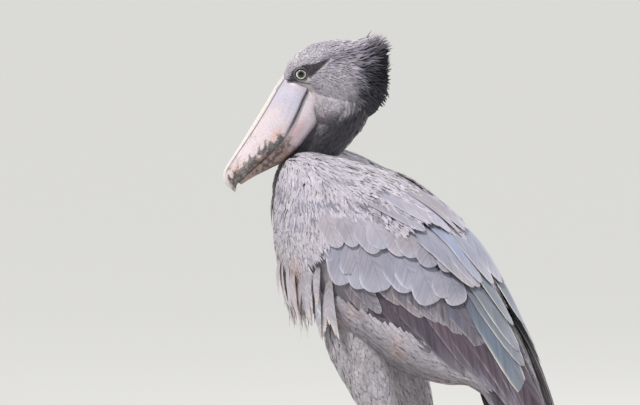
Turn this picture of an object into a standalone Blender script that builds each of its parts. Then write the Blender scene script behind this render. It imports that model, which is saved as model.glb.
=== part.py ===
"""A shoebill standing with its neck drawn in: a still, life-size model in metres, +Z up.

The bird faces -Y and its left side is +X. Its head is turned a little to its left. The trunk and the
folded wings share one hull, a tube of changing section along the slanting back, and every feather is
laid on that hull. The origin is on the ground under the middle of the bird.
"""

import math

import bmesh
import bpy
import mathutils
import numpy as np

# The gap kept between parts that meet: each cutter is grown by it before it cuts
GAP = 0.0004

# Head: the middle of the eyes, its turn to the left, and the drop of the bill below level
EYE_MIDDLE = np.array((0.0333, -0.1253, 0.976))
HEAD_TURN = math.radians(25)
BILL_DROP = math.radians(56)
EYE_BALL = 0.0128
EYE_SPREAD = 0.0302

# Legs: half the stance, the three joints of a leg as (y, z), and the toes' lengths
LEG_X = 0.070
KNEE = (-0.010, 0.525)
ANKLE = (0.103, 0.262)
FOOT = (0.046, 0.020)
TOE_RADIUS = 0.0085
TOES = (("inner", -24, 0.128), ("middle", -3, 0.165), ("outer", 24, 0.135), ("hind", 172, 0.078))
CLAW_LENGTH = 0.024
TOE_RINGS = 9

# The tail's middle line
TAIL_ROOT = (0.0, 0.216, 0.450)
TAIL_END = (0.0, 0.334, 0.272)

# Hull stations from breast to wing tip: y, z, half width, height above and below, lean in degrees
HULL = np.array((
    (-0.167, 0.713, 0.026, 0.026, 0.026, 0),
    (-0.159, 0.714, 0.074, 0.082, 0.072, 1),
    (-0.141, 0.715, 0.110, 0.132, 0.106, 3),
    (-0.105, 0.712, 0.129, 0.146, 0.134, 9),
    (-0.050, 0.687, 0.142, 0.139, 0.149, 18),
    (0.015, 0.645, 0.146, 0.136, 0.150, 30),
    (0.080, 0.592, 0.139, 0.135, 0.138, 37),
    (0.140, 0.535, 0.122, 0.122, 0.115, 41),
    (0.197, 0.478, 0.098, 0.101, 0.088, 45),
    (0.250, 0.425, 0.073, 0.078, 0.062, 50),
    (0.300, 0.362, 0.049, 0.054, 0.040, 55),
    (0.338, 0.298, 0.028, 0.030, 0.022, 58),
    (0.354, 0.262, 0.010, 0.012, 0.010, 58),
))
# How boxy a section is: 2 is an ellipse
BOXINESS = 2.5
# The stations at which the trunk and a folded wing get a ring of points
TRUNK_RINGS = (0.0, 0.4, 1.0, 1.6, 2.3, 3.1, 4.0, 4.8, 5.6, 6.4, 7.1, 7.7, 8.2, 8.5, 8.7)
WING_RINGS = (1.0, 1.5, 2.1, 2.8, 3.6, 4.5, 5.5, 6.5, 7.6, 8.7, 9.8, 10.9, 11.6)
# Towards the rump the trunk draws in from the hull: stations, and how far in
RUMP_FROM = (7.0, 7.8, 8.3, 8.7)
RUMP_IN = (0.0, 0.010, 0.021, 0.036)
# How far the hull dips between the shoulders, where the neck rises, along the first stations
DIP = np.array((0.0, 0.08, 0.16, 0.17, 0.09, 0.02, 0, 0, 0, 0, 0, 0, 0))

# Neck stations from skull to breast: x, y, z, half width, half depth
NECK = np.array((
    (0.008, -0.068, 0.948, 0.034, 0.038),
    (0.002, -0.053, 0.915, 0.043, 0.045),
    (0.004, -0.074, 0.880, 0.043, 0.042),
    (0.008, -0.103, 0.844, 0.041, 0.040),
    (0.008, -0.129, 0.804, 0.046, 0.045),
    (0.002, -0.136, 0.760, 0.052, 0.056),
    (0.000, -0.112, 0.720, 0.050, 0.046),
    (0.000, -0.085, 0.685, 0.040, 0.036),
))

# Skull stations from face to nape, in the head's frame: forward, up, half width, above, below
SKULL = np.array((
    (0.0335, -0.006, 0.010, 0.007, 0.008),
    (0.0290, -0.006, 0.025, 0.016, 0.018),
    (0.0160, -0.003, 0.0345, 0.0295, 0.034),
    (-0.002, 0.002, 0.0400, 0.040, 0.044),
    (-0.027, 0.004, 0.0465, 0.050, 0.056),
    (-0.057, 0.000, 0.0510, 0.058, 0.068),
    (-0.088, -0.006, 0.0500, 0.062, 0.072),
    (-0.117, -0.012, 0.0430, 0.058, 0.066),
    (-0.137, -0.014, 0.0300, 0.044, 0.048),
    (-0.147, -0.014, 0.0120, 0.018, 0.020),
))
# The cheeks under it, in the same terms
CHEEK = np.array((
    (-0.008, -0.040, 0.018, 0.016, 0.016),
    (-0.020, -0.052, 0.038, 0.032, 0.032),
    (-0.045, -0.062, 0.046, 0.042, 0.040),
    (-0.075, -0.060, 0.044, 0.040, 0.040),
    (-0.100, -0.052, 0.030, 0.028, 0.030),
    (-0.110, -0.048, 0.012, 0.012, 0.012),
))

# The line of the mouth in the bill's frame: along from the eye, height
MOUTH = np.array((
    (0.000, -0.0240), (0.035, -0.0288), (0.067, -0.0350), (0.095, -0.0375), (0.125, -0.0378),
    (0.160, -0.0300), (0.195, -0.0220), (0.220, -0.0172), (0.250, -0.0150),
))
# Upper bill stations in that frame: along, top, drop below the mouth line, half width
UPPER_BILL = np.array((
    (0.0145, 0.0225, 0.0, 0.034),
    (0.024, 0.0260, 0.0, 0.0405),
    (0.050, 0.0255, 0.0, 0.0445),
    (0.085, 0.0232, 0.0, 0.0470),
    (0.125, 0.0213, 0.0, 0.0470),
    (0.162, 0.0198, 0.0, 0.0425),
    (0.195, 0.0190, 0.0, 0.0345),
    (0.218, 0.0180, 0.0, 0.0255),
    (0.231, 0.0138, 0.0, 0.0180),
    (0.2385, 0.0068, 0.0035, 0.0125),
    (0.2425, -0.0010, 0.0055, 0.0080),
    (0.2440, -0.0100, 0.0065, 0.0045),
))
# Lower bill stations in that frame: along, underside, half width
LOWER_BILL = np.array((
    (0.010, -0.0400, 0.028),
    (0.026, -0.0580, 0.036),
    (0.050, -0.0755, 0.0400),
    (0.088, -0.0735, 0.0420),
    (0.120, -0.0705, 0.0405),
    (0.150, -0.0625, 0.0360),
    (0.178, -0.0470, 0.0290),
    (0.203, -0.0335, 0.0200),
    (0.220, -0.0255, 0.0110),
    (0.2265, -0.0225, 0.0050),
))
# A nostril: how far along the bill and off its middle, its height and its length
NOSTRIL_ALONG = 0.044
NOSTRIL_OFF = 0.0082
NOSTRIL_HEIGHT = 0.0235
NOSTRIL_LENGTH = 0.017
# Half a section of each bill, as shares of its half width and of its height from bottom to top
UPPER_SECTION = (
    (0.0, 1.0), (0.10, 0.985), (0.17, 0.90), (0.24, 0.905), (0.50, 0.82), (0.78, 0.62),
    (0.95, 0.34), (1.0, 0.12), (0.97, 0.0),
)
LOWER_SECTION = ((0.94, 1.0), (1.0, 0.86), (0.93, 0.50), (0.72, 0.18), (0.40, 0.03), (0.0, 0.0))

# Looks for the solids: colour, roughness and metallic value
FEATHER = {"colour": (0.40, 0.42, 0.50, 1), "roughness": 0.8, "metal": 0.0}
DARK = {"colour": (0.13, 0.14, 0.17, 1), "roughness": 0.85, "metal": 0.0}
SLATE = {"colour": (0.30, 0.31, 0.36, 1), "roughness": 0.8, "metal": 0.0}
HORN = {"colour": (0.66, 0.58, 0.60, 1), "roughness": 0.45, "metal": 0.0}
SCALE = {"colour": (0.17, 0.16, 0.15, 1), "roughness": 0.6, "metal": 0.0}
CLAW = {"colour": (0.06, 0.055, 0.05, 1), "roughness": 0.4, "metal": 0.0}
GLASS = {"colour": (0.55, 0.57, 0.46, 1), "roughness": 0.1, "metal": 0.0}


# Making and cutting meshes

def smooth(rows, at):
    """Rows of a table read at fractional places, along smooth curves through them."""
    rows = np.asarray(rows, float)
    at = np.clip(np.asarray(at, float), 0, len(rows) - 1.000001)
    low = np.floor(at).astype(int)
    t = (at - low)[..., None]
    ends = np.vstack((2 * rows[:1] - rows[1:2], rows, 2 * rows[-1:] - rows[-2:-1]))
    a, b, c, d = (ends[low + k] for k in range(4))
    return b + t / 2 * (c - a + t * (2 * a - 5 * b + 4 * c - d + t * (3 * (b - c) + d - a)))


def material(name, look):
    """A plain material with a look's colour, roughness and metallic value."""
    made = bpy.data.materials.new(name)
    made.use_nodes = True
    shader = made.node_tree.nodes["Principled BSDF"]
    shader.inputs["Base Color"].default_value = look["colour"]
    shader.inputs["Roughness"].default_value = look["roughness"]
    shader.inputs["Metallic"].default_value = look["metal"]
    made.diffuse_color = look["colour"]
    return made


def solid(name, points, faces):
    """A mesh object of its own from points and faces."""
    mesh = bpy.data.meshes.new(name)
    mesh.from_pydata([tuple(p) for p in points], [], [tuple(f) for f in faces])
    mesh.validate()
    made = bpy.data.objects.new(name, mesh)
    bpy.context.scene.collection.objects.link(made)
    return made


def loft(name, rings, look=None):
    """A closed tube through rings of points, each end closed by a fan to its middle."""
    rings = np.asarray(rings, float)
    count, sides = rings.shape[:2]
    shape = bmesh.new()
    rows = [[shape.verts.new(p) for p in ring] for ring in rings]
    for one, two in zip(rows, rows[1:]):
        for k in range(sides):
            after = (k + 1) % sides
            shape.faces.new((one[k], one[after], two[after]))
            shape.faces.new((one[k], two[after], two[k]))
    for row, ring in ((rows[0], rings[0]), (rows[-1], rings[-1])):
        middle = shape.verts.new(ring.mean(axis=0))
        for k in range(sides):
            shape.faces.new((row[k], row[(k + 1) % sides], middle))
    bmesh.ops.recalc_face_normals(shape, faces=shape.faces)
    mesh = bpy.data.meshes.new(name)
    shape.to_mesh(mesh)
    shape.free()
    mesh.shade_smooth()
    made = bpy.data.objects.new(name, mesh)
    bpy.context.scene.collection.objects.link(made)
    if look:
        mesh.materials.append(material(name, look))
    return made


def boolean(target, others, operation):
    """Applies one Boolean of a list of closed objects to the target, and removes them."""
    tool = target.modifiers.new(operation.lower(), "BOOLEAN")
    tool.operation = operation
    tool.solver = "MANIFOLD"
    tool.operand_type = "COLLECTION"
    tool.collection = bpy.data.collections.new("pieces")
    bpy.context.scene.collection.children.link(tool.collection)
    for piece in others:
        bpy.context.scene.collection.objects.unlink(piece)
        tool.collection.objects.link(piece)
    group = tool.collection
    bpy.context.view_layer.update()
    graph = bpy.context.evaluated_depsgraph_get()
    mesh = bpy.data.meshes.new_from_object(target.evaluated_get(graph))
    target.modifiers.clear()
    old = target.data
    target.data = mesh
    bpy.data.meshes.remove(old)
    for piece in others:
        bpy.data.objects.remove(piece)
    bpy.data.collections.remove(group)


def keep_largest(target):
    """Leaves only the largest closed surface of a mesh, split into triangles."""
    shape = bmesh.new()
    shape.from_mesh(target.data)
    bmesh.ops.triangulate(shape, faces=shape.faces)
    left = set(shape.faces)
    parts = []
    while left:
        stack = [left.pop()]
        part = set(stack)
        while stack:
            for edge in stack.pop().edges:
                for face in edge.link_faces:
                    if face in left:
                        left.discard(face)
                        part.add(face)
                        stack.append(face)
        parts.append(part)
    best = max(parts, key=lambda part: sum(face.calc_area() for face in part))
    bmesh.ops.delete(shape, geom=[face for face in shape.faces if face not in best], context="FACES")
    shape.to_mesh(target.data)
    shape.free()


# The hull that trunk and wings share

def hull(s, phi, lift=0.0):
    """Points of the hull at station s and angle phi (left 0, back 90), moved outward by lift."""
    def bare(s, phi):
        row = smooth(HULL, s)
        dip = smooth(DIP[:, None], s)[..., 0]
        y, z, wide, above, below, lean = np.moveaxis(row, -1, 0)
        c, n = np.cos(phi), np.sin(phi)
        x = wide * np.sign(c) * np.abs(c) ** (2 / BOXINESS)
        h = np.where(n > 0, above, below) * np.sign(n) * np.abs(n) ** (2 / BOXINESS)
        off_middle = np.abs(np.angle(np.exp(1j * (phi - math.pi / 2))))
        h = h * (1 - dip * np.exp(-(off_middle / 0.55) ** 2))
        lean = np.radians(lean)
        return np.stack((x, y + h * np.sin(lean), z + h * np.cos(lean)), axis=-1)

    s, phi, lift = np.broadcast_arrays(*(np.asarray(v, float) for v in (s, phi, lift)))
    point = bare(s, phi)
    ds, dphi = 0.02, 0.01
    low, high = np.clip(s - ds, 0, len(HULL) - 1), np.clip(s + ds, 0, len(HULL) - 1)
    along = bare(high, phi) - bare(low, phi)
    around = bare(s, phi + dphi) - bare(s, phi - dphi)
    out = np.cross(along, around)
    out /= np.maximum(np.linalg.norm(out, axis=-1, keepdims=True), 1e-12)
    return point + out * lift[..., None]


# Where a wing lies on the hull: its lower and upper edges, as angles at each station
WING_LOW = np.radians((-70, -62, -52, -42, -34, -27, -19, -11, -5, -1, 3, 6, 8))[:, None]
WING_HIGH = np.radians((60, 62, 65, 67, 70, 74, 80, 86, 90, 90, 90, 90, 90))[:, None]
# Points across a folded wing's outer face, and how thick it is at each station
PAD_POINTS = 7
PAD_TOP = -0.008
# How deep in the wing a vane's root lies, below the hull
ROOT_DEPTH = -0.011
WING_DEEP = np.array((10, 18, 22, 24, 23, 22, 20, 18, 16, 14, 12, 11, 10))[:, None] / 1000


def wing_cover(s, phi):
    """How deep the folded wing presses into the hull at a place, for both sides."""
    phi = np.asarray(phi, float)
    side = np.where(np.cos(phi) >= 0, phi, math.pi - phi)
    side = np.angle(np.exp(1j * side))
    low, high = smooth(WING_LOW, s)[..., 0], smooth(WING_HIGH, s)[..., 0]
    edge = math.radians(7)
    inside = np.clip((side - low) / edge, 0, 1) * np.clip((high + edge * 0.4 - side) / edge, 0, 1)
    return inside * smooth(WING_DEEP, s)[..., 0]


def trunk(name):
    """The trunk: the hull less the folded wings, ending at the rump."""
    rings = []
    angle = np.radians(np.arange(0, 360, 12) + 0.01)
    for s in TRUNK_RINGS:
        drawn_in = np.interp(s, RUMP_FROM, RUMP_IN)
        lift = -np.maximum(wing_cover(s, angle), drawn_in)
        rings.append(hull(np.full(len(angle), s), angle, lift))
    return loft(name, rings)


def wing_pad(name, side):
    """The flesh and the closed feather mass of a folded wing, without its vanes."""
    rings = []
    for s in WING_RINGS:
        low, high = smooth(WING_LOW, s)[0], smooth(WING_HIGH, s)[0]
        deep = smooth(WING_DEEP, s)[0] + 0.004
        share = np.linspace(0, 1, PAD_POINTS)
        outer = low + (high - low) * share
        rim = 1 - (2 * share - 1) ** 6
        top = hull(np.full(PAD_POINTS, s), outer, PAD_TOP - 0.004 * (1 - rim))
        bottom = hull(np.full(PAD_POINTS, s), outer, -deep)[::-1]
        ring = np.vstack((top, bottom))
        ring[:, 0] = np.maximum(ring[:, 0], GAP / 2)
        rings.append(ring)
    rings = np.array(rings)
    rings[..., 0] *= side
    return loft(name, rings)


# Feathers, each a closed thin vane

def lock(start, end, facing, width, thick, bow=0.0, rows=4):
    """A pointed lock with a diamond section, its flat side turned towards facing."""
    start, end, facing = (np.asarray(v, float) for v in (start, end, facing))
    share = np.linspace(0, 1, rows)[:, None]
    run = (end - start) / np.linalg.norm(end - start)
    facing = facing - run * (facing @ run)
    facing /= np.linalg.norm(facing)
    across = np.cross(facing, run)
    middle = start + (end - start) * share + facing * bow * np.sin(math.pi * share)
    half = (0.75 + 0.25 * np.sin(math.pi * share)) * (1 - 0.88 * share ** 3)
    corners = (across * width / 2, facing * thick / 2, -across * width / 2, -facing * thick / 2)
    rings = np.stack([middle + half * corner for corner in corners], axis=1)
    return loft("lock", rings)


def blade(name, grid, normal, edge=0.00028, ridge=0.0006):
    """A closed vane round a sheet of points, three across, thicker along its shaft."""
    rows = len(grid)
    half = np.array((edge, ridge, edge))[None, :, None] * np.linspace(1.0, 0.75, rows)[:, None, None]
    points = np.concatenate((grid + normal * half, grid - normal * half), axis=1).reshape(-1, 3)
    faces = []

    def at(row, column, under):
        return row * 6 + under * 3 + column

    for row in range(rows - 1):
        for column in (0, 1):
            for under in (0, 1):
                a, b = at(row, column, under), at(row, column + 1, under)
                c, d = at(row + 1, column + 1, under), at(row + 1, column, under)
                split = ((a, b, c), (a, c, d)) if column else ((a, b, d), (b, c, d))
                faces += [face[::-1] if under else face for face in split]
        for column, turned in ((0, False), (2, True)):
            a, b = at(row, column, 0), at(row, column, 1)
            c, d = at(row + 1, column, 1), at(row + 1, column, 0)
            faces += [face[::-1] if turned else face for face in ((a, d, c), (a, c, b))]
    for row, turned in ((0, False), (rows - 1, True)):
        for column in (0, 1):
            a, b = at(row, column, 0), at(row, column + 1, 0)
            c, d = at(row, column + 1, 1), at(row, column, 1)
            faces += [face[::-1] if turned else face for face in ((a, c, b), (a, d, c))]
    made = solid(name, points, faces)
    shape = bmesh.new()
    shape.from_mesh(made.data)
    if shape.calc_volume(signed=True) < 0:
        bmesh.ops.reverse_faces(shape, faces=shape.faces)
        shape.to_mesh(made.data)
    shape.free()
    return made


def outline(share, root, blunt):
    """Half width of a vane along its length, as a share of its widest."""
    grow = root + (1 - root) * np.sin(np.clip(share * 1.5, 0, 1) * math.pi / 2)
    return grow * (np.sqrt(np.clip(1 - share ** blunt, 0, 1)) * 0.93 + 0.07)


def laid(start, end, width, lift, side, roll=0.0, rows=5, blunt=5.0, ridge=0.0006, root=ROOT_DEPTH):
    """A vane lying on the hull between two places, each a station and an angle in degrees.

    It rises from its root's depth in the wing to its lift above the hull over the first third.
    """
    share = 1 - (1 - np.linspace(0, 1, rows)) ** 1.25
    s = start[0] + (end[0] - start[0]) * share
    phi = np.radians(start[1] + (end[1] - start[1]) * share)
    step_s, step_phi = 0.05, 0.01
    along = (hull(s + step_s, phi) - hull(s - step_s, phi)) / (2 * step_s)
    around = (hull(s, phi + step_phi) - hull(s, phi - step_phi)) / (2 * step_phi)
    run = along * np.gradient(s)[:, None] + around * np.gradient(phi)[:, None]
    out = np.cross(along, around)
    across = np.cross(out, run)
    across /= np.linalg.norm(across, axis=1, keepdims=True)
    # The steps in station and in angle that move a point squarely across the vane
    aa = (along * along).sum(axis=1)
    bb = (around * around).sum(axis=1)
    ab = (along * around).sum(axis=1)
    ca = (along * across).sum(axis=1)
    cb = (around * across).sum(axis=1)
    scale = aa * bb - ab * ab
    turn_s = (ca * bb - cb * ab) / scale
    turn_phi = (cb * aa - ca * ab) / scale
    half = width / 2 * outline(share, 0.5, blunt)
    rise = np.clip(share / 0.3, 0, 1)
    height = root + (lift - root) * rise * rise * (3 - 2 * rise)
    column = np.array((-1.0, 0.0, 1.0))
    grid_s = s[:, None] + half[:, None] * turn_s[:, None] * column
    grid_phi = phi[:, None] + half[:, None] * turn_phi[:, None] * column
    sheet = height[:, None] + roll * column * (half / (width / 2))[:, None]
    grid = hull(grid_s, grid_phi, sheet)
    normal = hull(grid_s, grid_phi, sheet + 0.001) - grid
    normal /= np.linalg.norm(normal, axis=-1, keepdims=True)
    mirror = np.array((side, 1, 1))
    return blade("vane", grid * mirror, normal * mirror, ridge=ridge)


def hanging(start, end, facing, width, bow=0.0, rows=6, blunt=2.2, edge=0.00035, ridge=0.0009):
    """A free plume or lock from start to end, its flat side turned towards facing."""
    start, end, facing = (np.asarray(v, float) for v in (start, end, facing))
    share = 1 - (1 - np.linspace(0, 1, rows)) ** 1.2
    run = (end - start) / np.linalg.norm(end - start)
    facing = facing - run * (facing @ run)
    facing /= np.linalg.norm(facing)
    across = np.cross(facing, run)
    middle = start + (end - start) * share[:, None] + facing * bow * np.sin(math.pi * share)[:, None]
    half = width / 2 * outline(share, 0.55, blunt)
    grid = middle[:, None] + half[:, None, None] * np.array((-1, 0, 1))[None, :, None] * across
    normal = np.broadcast_to(facing, grid.shape)
    return blade("plume", grid, normal, edge, ridge)


# The head and what sits on it

FORWARD = np.array((math.sin(HEAD_TURN), -math.cos(HEAD_TURN), 0.0))
LEFTWARD = np.array((math.cos(HEAD_TURN), math.sin(HEAD_TURN), 0.0))
UPWARD = np.array((0.0, 0.0, 1.0))
BILL_ALONG = math.cos(BILL_DROP) * FORWARD - math.sin(BILL_DROP) * UPWARD
BILL_TOPWARD = math.sin(BILL_DROP) * FORWARD + math.cos(BILL_DROP) * UPWARD


def in_head(forward, left, up):
    """A place in the head, measured from the middle of the eyes."""
    parts = (np.asarray(v, float)[..., None] for v in (forward, left, up))
    return EYE_MIDDLE + sum(v * axis for v, axis in zip(parts, (FORWARD, LEFTWARD, UPWARD)))


def in_bill(along, left, top):
    """A place in the bill, measured from the middle of the eyes."""
    parts = (np.asarray(v, float)[..., None] for v in (along, left, top))
    return EYE_MIDDLE + sum(v * axis for v, axis in zip(parts, (BILL_ALONG, LEFTWARD, BILL_TOPWARD)))


def oval_rings(table, rows, sides):
    """Rings of a form in the head whose stations are (forward, up, half width, above, below)."""
    angle = np.arange(sides) * 2 * math.pi / sides + 0.01
    rings = []
    for forward, up, half, above, below in smooth(table, np.linspace(0, len(table) - 1, rows)):
        c, n = np.cos(angle), np.sin(angle)
        height = np.where(n > 0, above, below) * n
        rings.append(in_head(np.full(sides, forward), half * c, up + height))
    return rings


def mouth(along):
    """Height of the line of the mouth at a distance along the bill."""
    return smooth(MOUTH[:, 1:], np.interp(along, MOUTH[:, 0], np.arange(len(MOUTH))))[..., 0]


def upper_bill(name, look):
    """The upper half of the bill with its hook, its groove and the slits of both nostrils."""
    rings = []
    for along, top, drop, half in smooth(UPPER_BILL, np.linspace(0, len(UPPER_BILL) - 1, 20)):
        low = mouth(along) - drop
        share = np.array(UPPER_SECTION)
        share = np.vstack((share, share[:0:-1] * (-1, 1)))
        rings.append(in_bill(np.full(len(share), along), half * share[:, 0],
                             low + (top - low) * share[:, 1]))
    bill = loft(name, rings, look)
    for side in (1, -1):
        boolean(bill, [nostril(side)], "DIFFERENCE")
    return bill


def nostril(side):
    """The cutter of one nostril, a slit lying in the groove beside the ridge of the bill."""
    share = np.linspace(-1, 1, 5)
    path = in_bill(NOSTRIL_ALONG + NOSTRIL_LENGTH / 2 * share, side * NOSTRIL_OFF * np.ones(5),
                   NOSTRIL_HEIGHT - 0.02 * NOSTRIL_LENGTH * share)
    radii = 0.0016 * np.sqrt(1 - 0.85 * share ** 2)
    return tube("nostril", path, radii * 2.4, 6, side_radii=radii)


def lower_bill(name, look):
    """The lower half of the bill, which ends inside the hook."""
    rings = []
    for along, low, half in smooth(LOWER_BILL, np.linspace(0, len(LOWER_BILL) - 1, 15)):
        top = mouth(along) - 2 * GAP
        share = np.array(LOWER_SECTION)
        share = np.vstack((share, share[-2::-1] * (-1, 1)))
        rings.append(in_bill(np.full(len(share), along), half * share[:, 0],
                             low + (top - low) * share[:, 1]))
    return loft(name, rings, look)


def ball(name, centre, radius, look):
    """A ball of its own, 14 faces round and 7 from pole to pole."""
    shape = bmesh.new()
    bmesh.ops.create_uvsphere(shape, u_segments=14, v_segments=7, radius=radius)
    mesh = bpy.data.meshes.new(name)
    shape.to_mesh(mesh)
    shape.free()
    mesh.shade_smooth()
    for vert in mesh.vertices:
        vert.co = vert.co[:] + np.asarray(centre)
    made = bpy.data.objects.new(name, mesh)
    bpy.context.scene.collection.objects.link(made)
    mesh.materials.append(material(name, look))
    return made


def ring_tube(name, centre, out, radius, thick):
    """A closed ring round an eye, lying across the direction out: the rim of the lids."""
    out = np.asarray(out) / np.linalg.norm(out)
    one = np.cross(out, UPWARD)
    one /= np.linalg.norm(one)
    two = np.cross(one, out)
    around, across = 12, 4
    points, faces = [], []
    for i in range(around):
        a = 2 * math.pi * i / around
        ray = math.cos(a) * one + math.sin(a) * two
        for j in range(across):
            b = 2 * math.pi * j / across
            points.append(centre + ray * (radius + thick * math.cos(b)) + out * thick * math.sin(b))
            near, far = (i + 1) % around, (j + 1) % across
            faces.append((i * across + j, near * across + j, near * across + far, i * across + far))
    made = solid(name, points, faces)
    face_outward(made)
    return made


def face_outward(target):
    """Turns every face of a closed mesh outward."""
    shape = bmesh.new()
    shape.from_mesh(target.data)
    bmesh.ops.recalc_face_normals(shape, faces=shape.faces)
    shape.to_mesh(target.data)
    shape.free()


def tube(name, path, radii, sides, floor=None, look=None, side_radii=None):
    """A limb along a path of points, its sections upright ovals; floor flattens its underside."""
    path = np.asarray(path, float)
    run = np.gradient(path, axis=0)
    run /= np.linalg.norm(run, axis=1, keepdims=True)
    across = np.cross(run, (0.0, 0.0, 1.0))
    steep = np.linalg.norm(across, axis=1, keepdims=True) < 0.35
    across = np.where(steep, (1.0, 0.0, 0.0), across)
    across -= run * (across * run).sum(axis=1, keepdims=True)
    across /= np.linalg.norm(across, axis=1, keepdims=True)
    for k in range(1, len(across)):
        if across[k] @ across[k - 1] < 0:
            across[k] *= -1
    other = np.cross(across, run)
    angle = np.arange(sides) * 2 * math.pi / sides + math.pi / sides
    radii = np.asarray(radii, float)
    wide = radii if side_radii is None else np.asarray(side_radii, float)
    rings = (path[:, None] + wide[:, None, None] * np.cos(angle)[None, :, None] * across[:, None]
             + radii[:, None, None] * np.sin(angle)[None, :, None] * other[:, None])
    if floor is not None:
        rings[..., 2] = np.maximum(rings[..., 2], floor)
    return loft(name, rings, look)


def grown(source, distance):
    """A copy of a mesh moved outward all round, to cut a neighbour clear of it."""
    shape = bmesh.new()
    shape.from_mesh(source.data)
    shape.normal_update()
    moves = [vert.normal * distance * min(vert.calc_shell_factor(), 3.0) for vert in shape.verts]
    for vert, move in zip(shape.verts, moves):
        vert.co += move
    mesh = bpy.data.meshes.new(source.name + "_room")
    shape.to_mesh(mesh)
    shape.free()
    made = bpy.data.objects.new(source.name + "_room", mesh)
    bpy.context.scene.collection.objects.link(made)
    return made


def fused(name, pieces, look):
    """One body from overlapping closed pieces."""
    first, rest = pieces[0], pieces[1:]
    if rest:
        boolean(first, rest, "UNION")
    first.name = name
    first.data.name = name
    first.data.materials.clear()
    first.data.materials.append(material(name, look))
    keep_largest(first)
    return first


def cleared(target, others, distance=GAP):
    """Cuts the target clear of its neighbours."""
    for other in others:
        boolean(target, [grown(other, distance)], "DIFFERENCE")
    keep_largest(target)
    return target


# Legs

def leg_places(side):
    """Knee, ankle and foot of one leg."""
    x = side * LEG_X
    return (np.array((x, *KNEE)), np.array((x, *ANKLE)), np.array((x, *FOOT)))


def thigh(name, side, look):
    """The feathered thigh and most of the shin, down to the bare part above the ankle."""
    knee, ankle, _ = leg_places(side)
    share = np.linspace(-0.06, 0.80, 8)
    path = knee + (ankle - knee) * share[:, None]
    radii = np.interp(share, (-0.06, 0.1, 0.4, 0.65, 0.76, 0.80), (0.050, 0.056, 0.044, 0.029, 0.021, 0.014))
    return tube(name, path, radii, 14, look=look, side_radii=radii * 0.82)


def shank(name, side, look):
    """The bare leg: end of the shin, the thick ankle joint and the long shank down to the foot."""
    knee, ankle, foot = leg_places(side)
    upper = [knee + (ankle - knee) * share for share in (0.70, 0.80, 0.90, 0.96)]
    lower = [ankle + (foot - ankle) * share for share in (0.03, 0.08, 0.16, 0.5, 0.82, 0.93, 1.0)]
    radii = (0.0075, 0.0085, 0.0105, 0.0145, 0.0155, 0.0135, 0.0098, 0.0088, 0.0094, 0.0115, 0.0105)
    wide = np.array(radii) * 0.88
    return tube(name, upper + lower, radii, 12, look=look, side_radii=wide)


def toe_path(side, turn, length):
    """Points along a toe's middle, from inside the foot to its end, and the toe's direction."""
    x, y, _ = leg_places(side)[2]
    turn = math.radians(turn) * side
    run = np.array((math.sin(turn), -math.cos(turn), 0.0))
    share = np.linspace(0.0, 1.0, TOE_RINGS)
    z = TOE_RADIUS * (0.82 - 0.28 * share)
    return np.stack((x + run[0] * length * share, y + run[1] * length * share, z), axis=1), run


def foot(name, side, look):
    """The joint of the foot and its four toes as one body, its underside flat on the ground."""
    pieces = []
    hub = leg_places(side)[2]
    levels = np.array((0.0, 0.006, 0.013, 0.023, 0.032))
    joint = np.stack((np.full(5, hub[0]), np.full(5, hub[1]), levels), axis=1)
    pieces.append(tube(name, joint, (0.0125, 0.0155, 0.0165, 0.0140, 0.0105), 12))
    for toe, turn, length in TOES:
        path, _ = toe_path(side, turn, length)
        share = np.linspace(0, 1, TOE_RINGS)
        knuckles = 3 if toe != "hind" else 2
        swell = 1 + 0.10 * np.cos(2 * math.pi * knuckles * share)
        radii = TOE_RADIUS * (1.0 - 0.34 * share) * swell
        radii[-1] *= 0.62
        pieces.append(tube("toe", path, radii, 6, floor=0.0, side_radii=radii * 1.05))
    return fused(name, pieces, look)


def claw(name, side, turn, length, look):
    """A curved claw that starts just past the end of its toe."""
    path, run = toe_path(side, turn, length)
    share = np.linspace(0, 1, 4)
    start = path[-1]
    points = start + np.outer(share * CLAW_LENGTH + GAP, run)
    points[:, 2] = start[2] + 0.0016 * np.sin(share * math.pi) - (start[2] - 0.0018) * share ** 2
    radii = np.array((0.0044, 0.0040, 0.0027, 0.0007))
    return tube(name, points, radii, 6, floor=0.0, look=look, side_radii=radii * 0.8)


# The tiers of the folded wing and the tail

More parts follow.
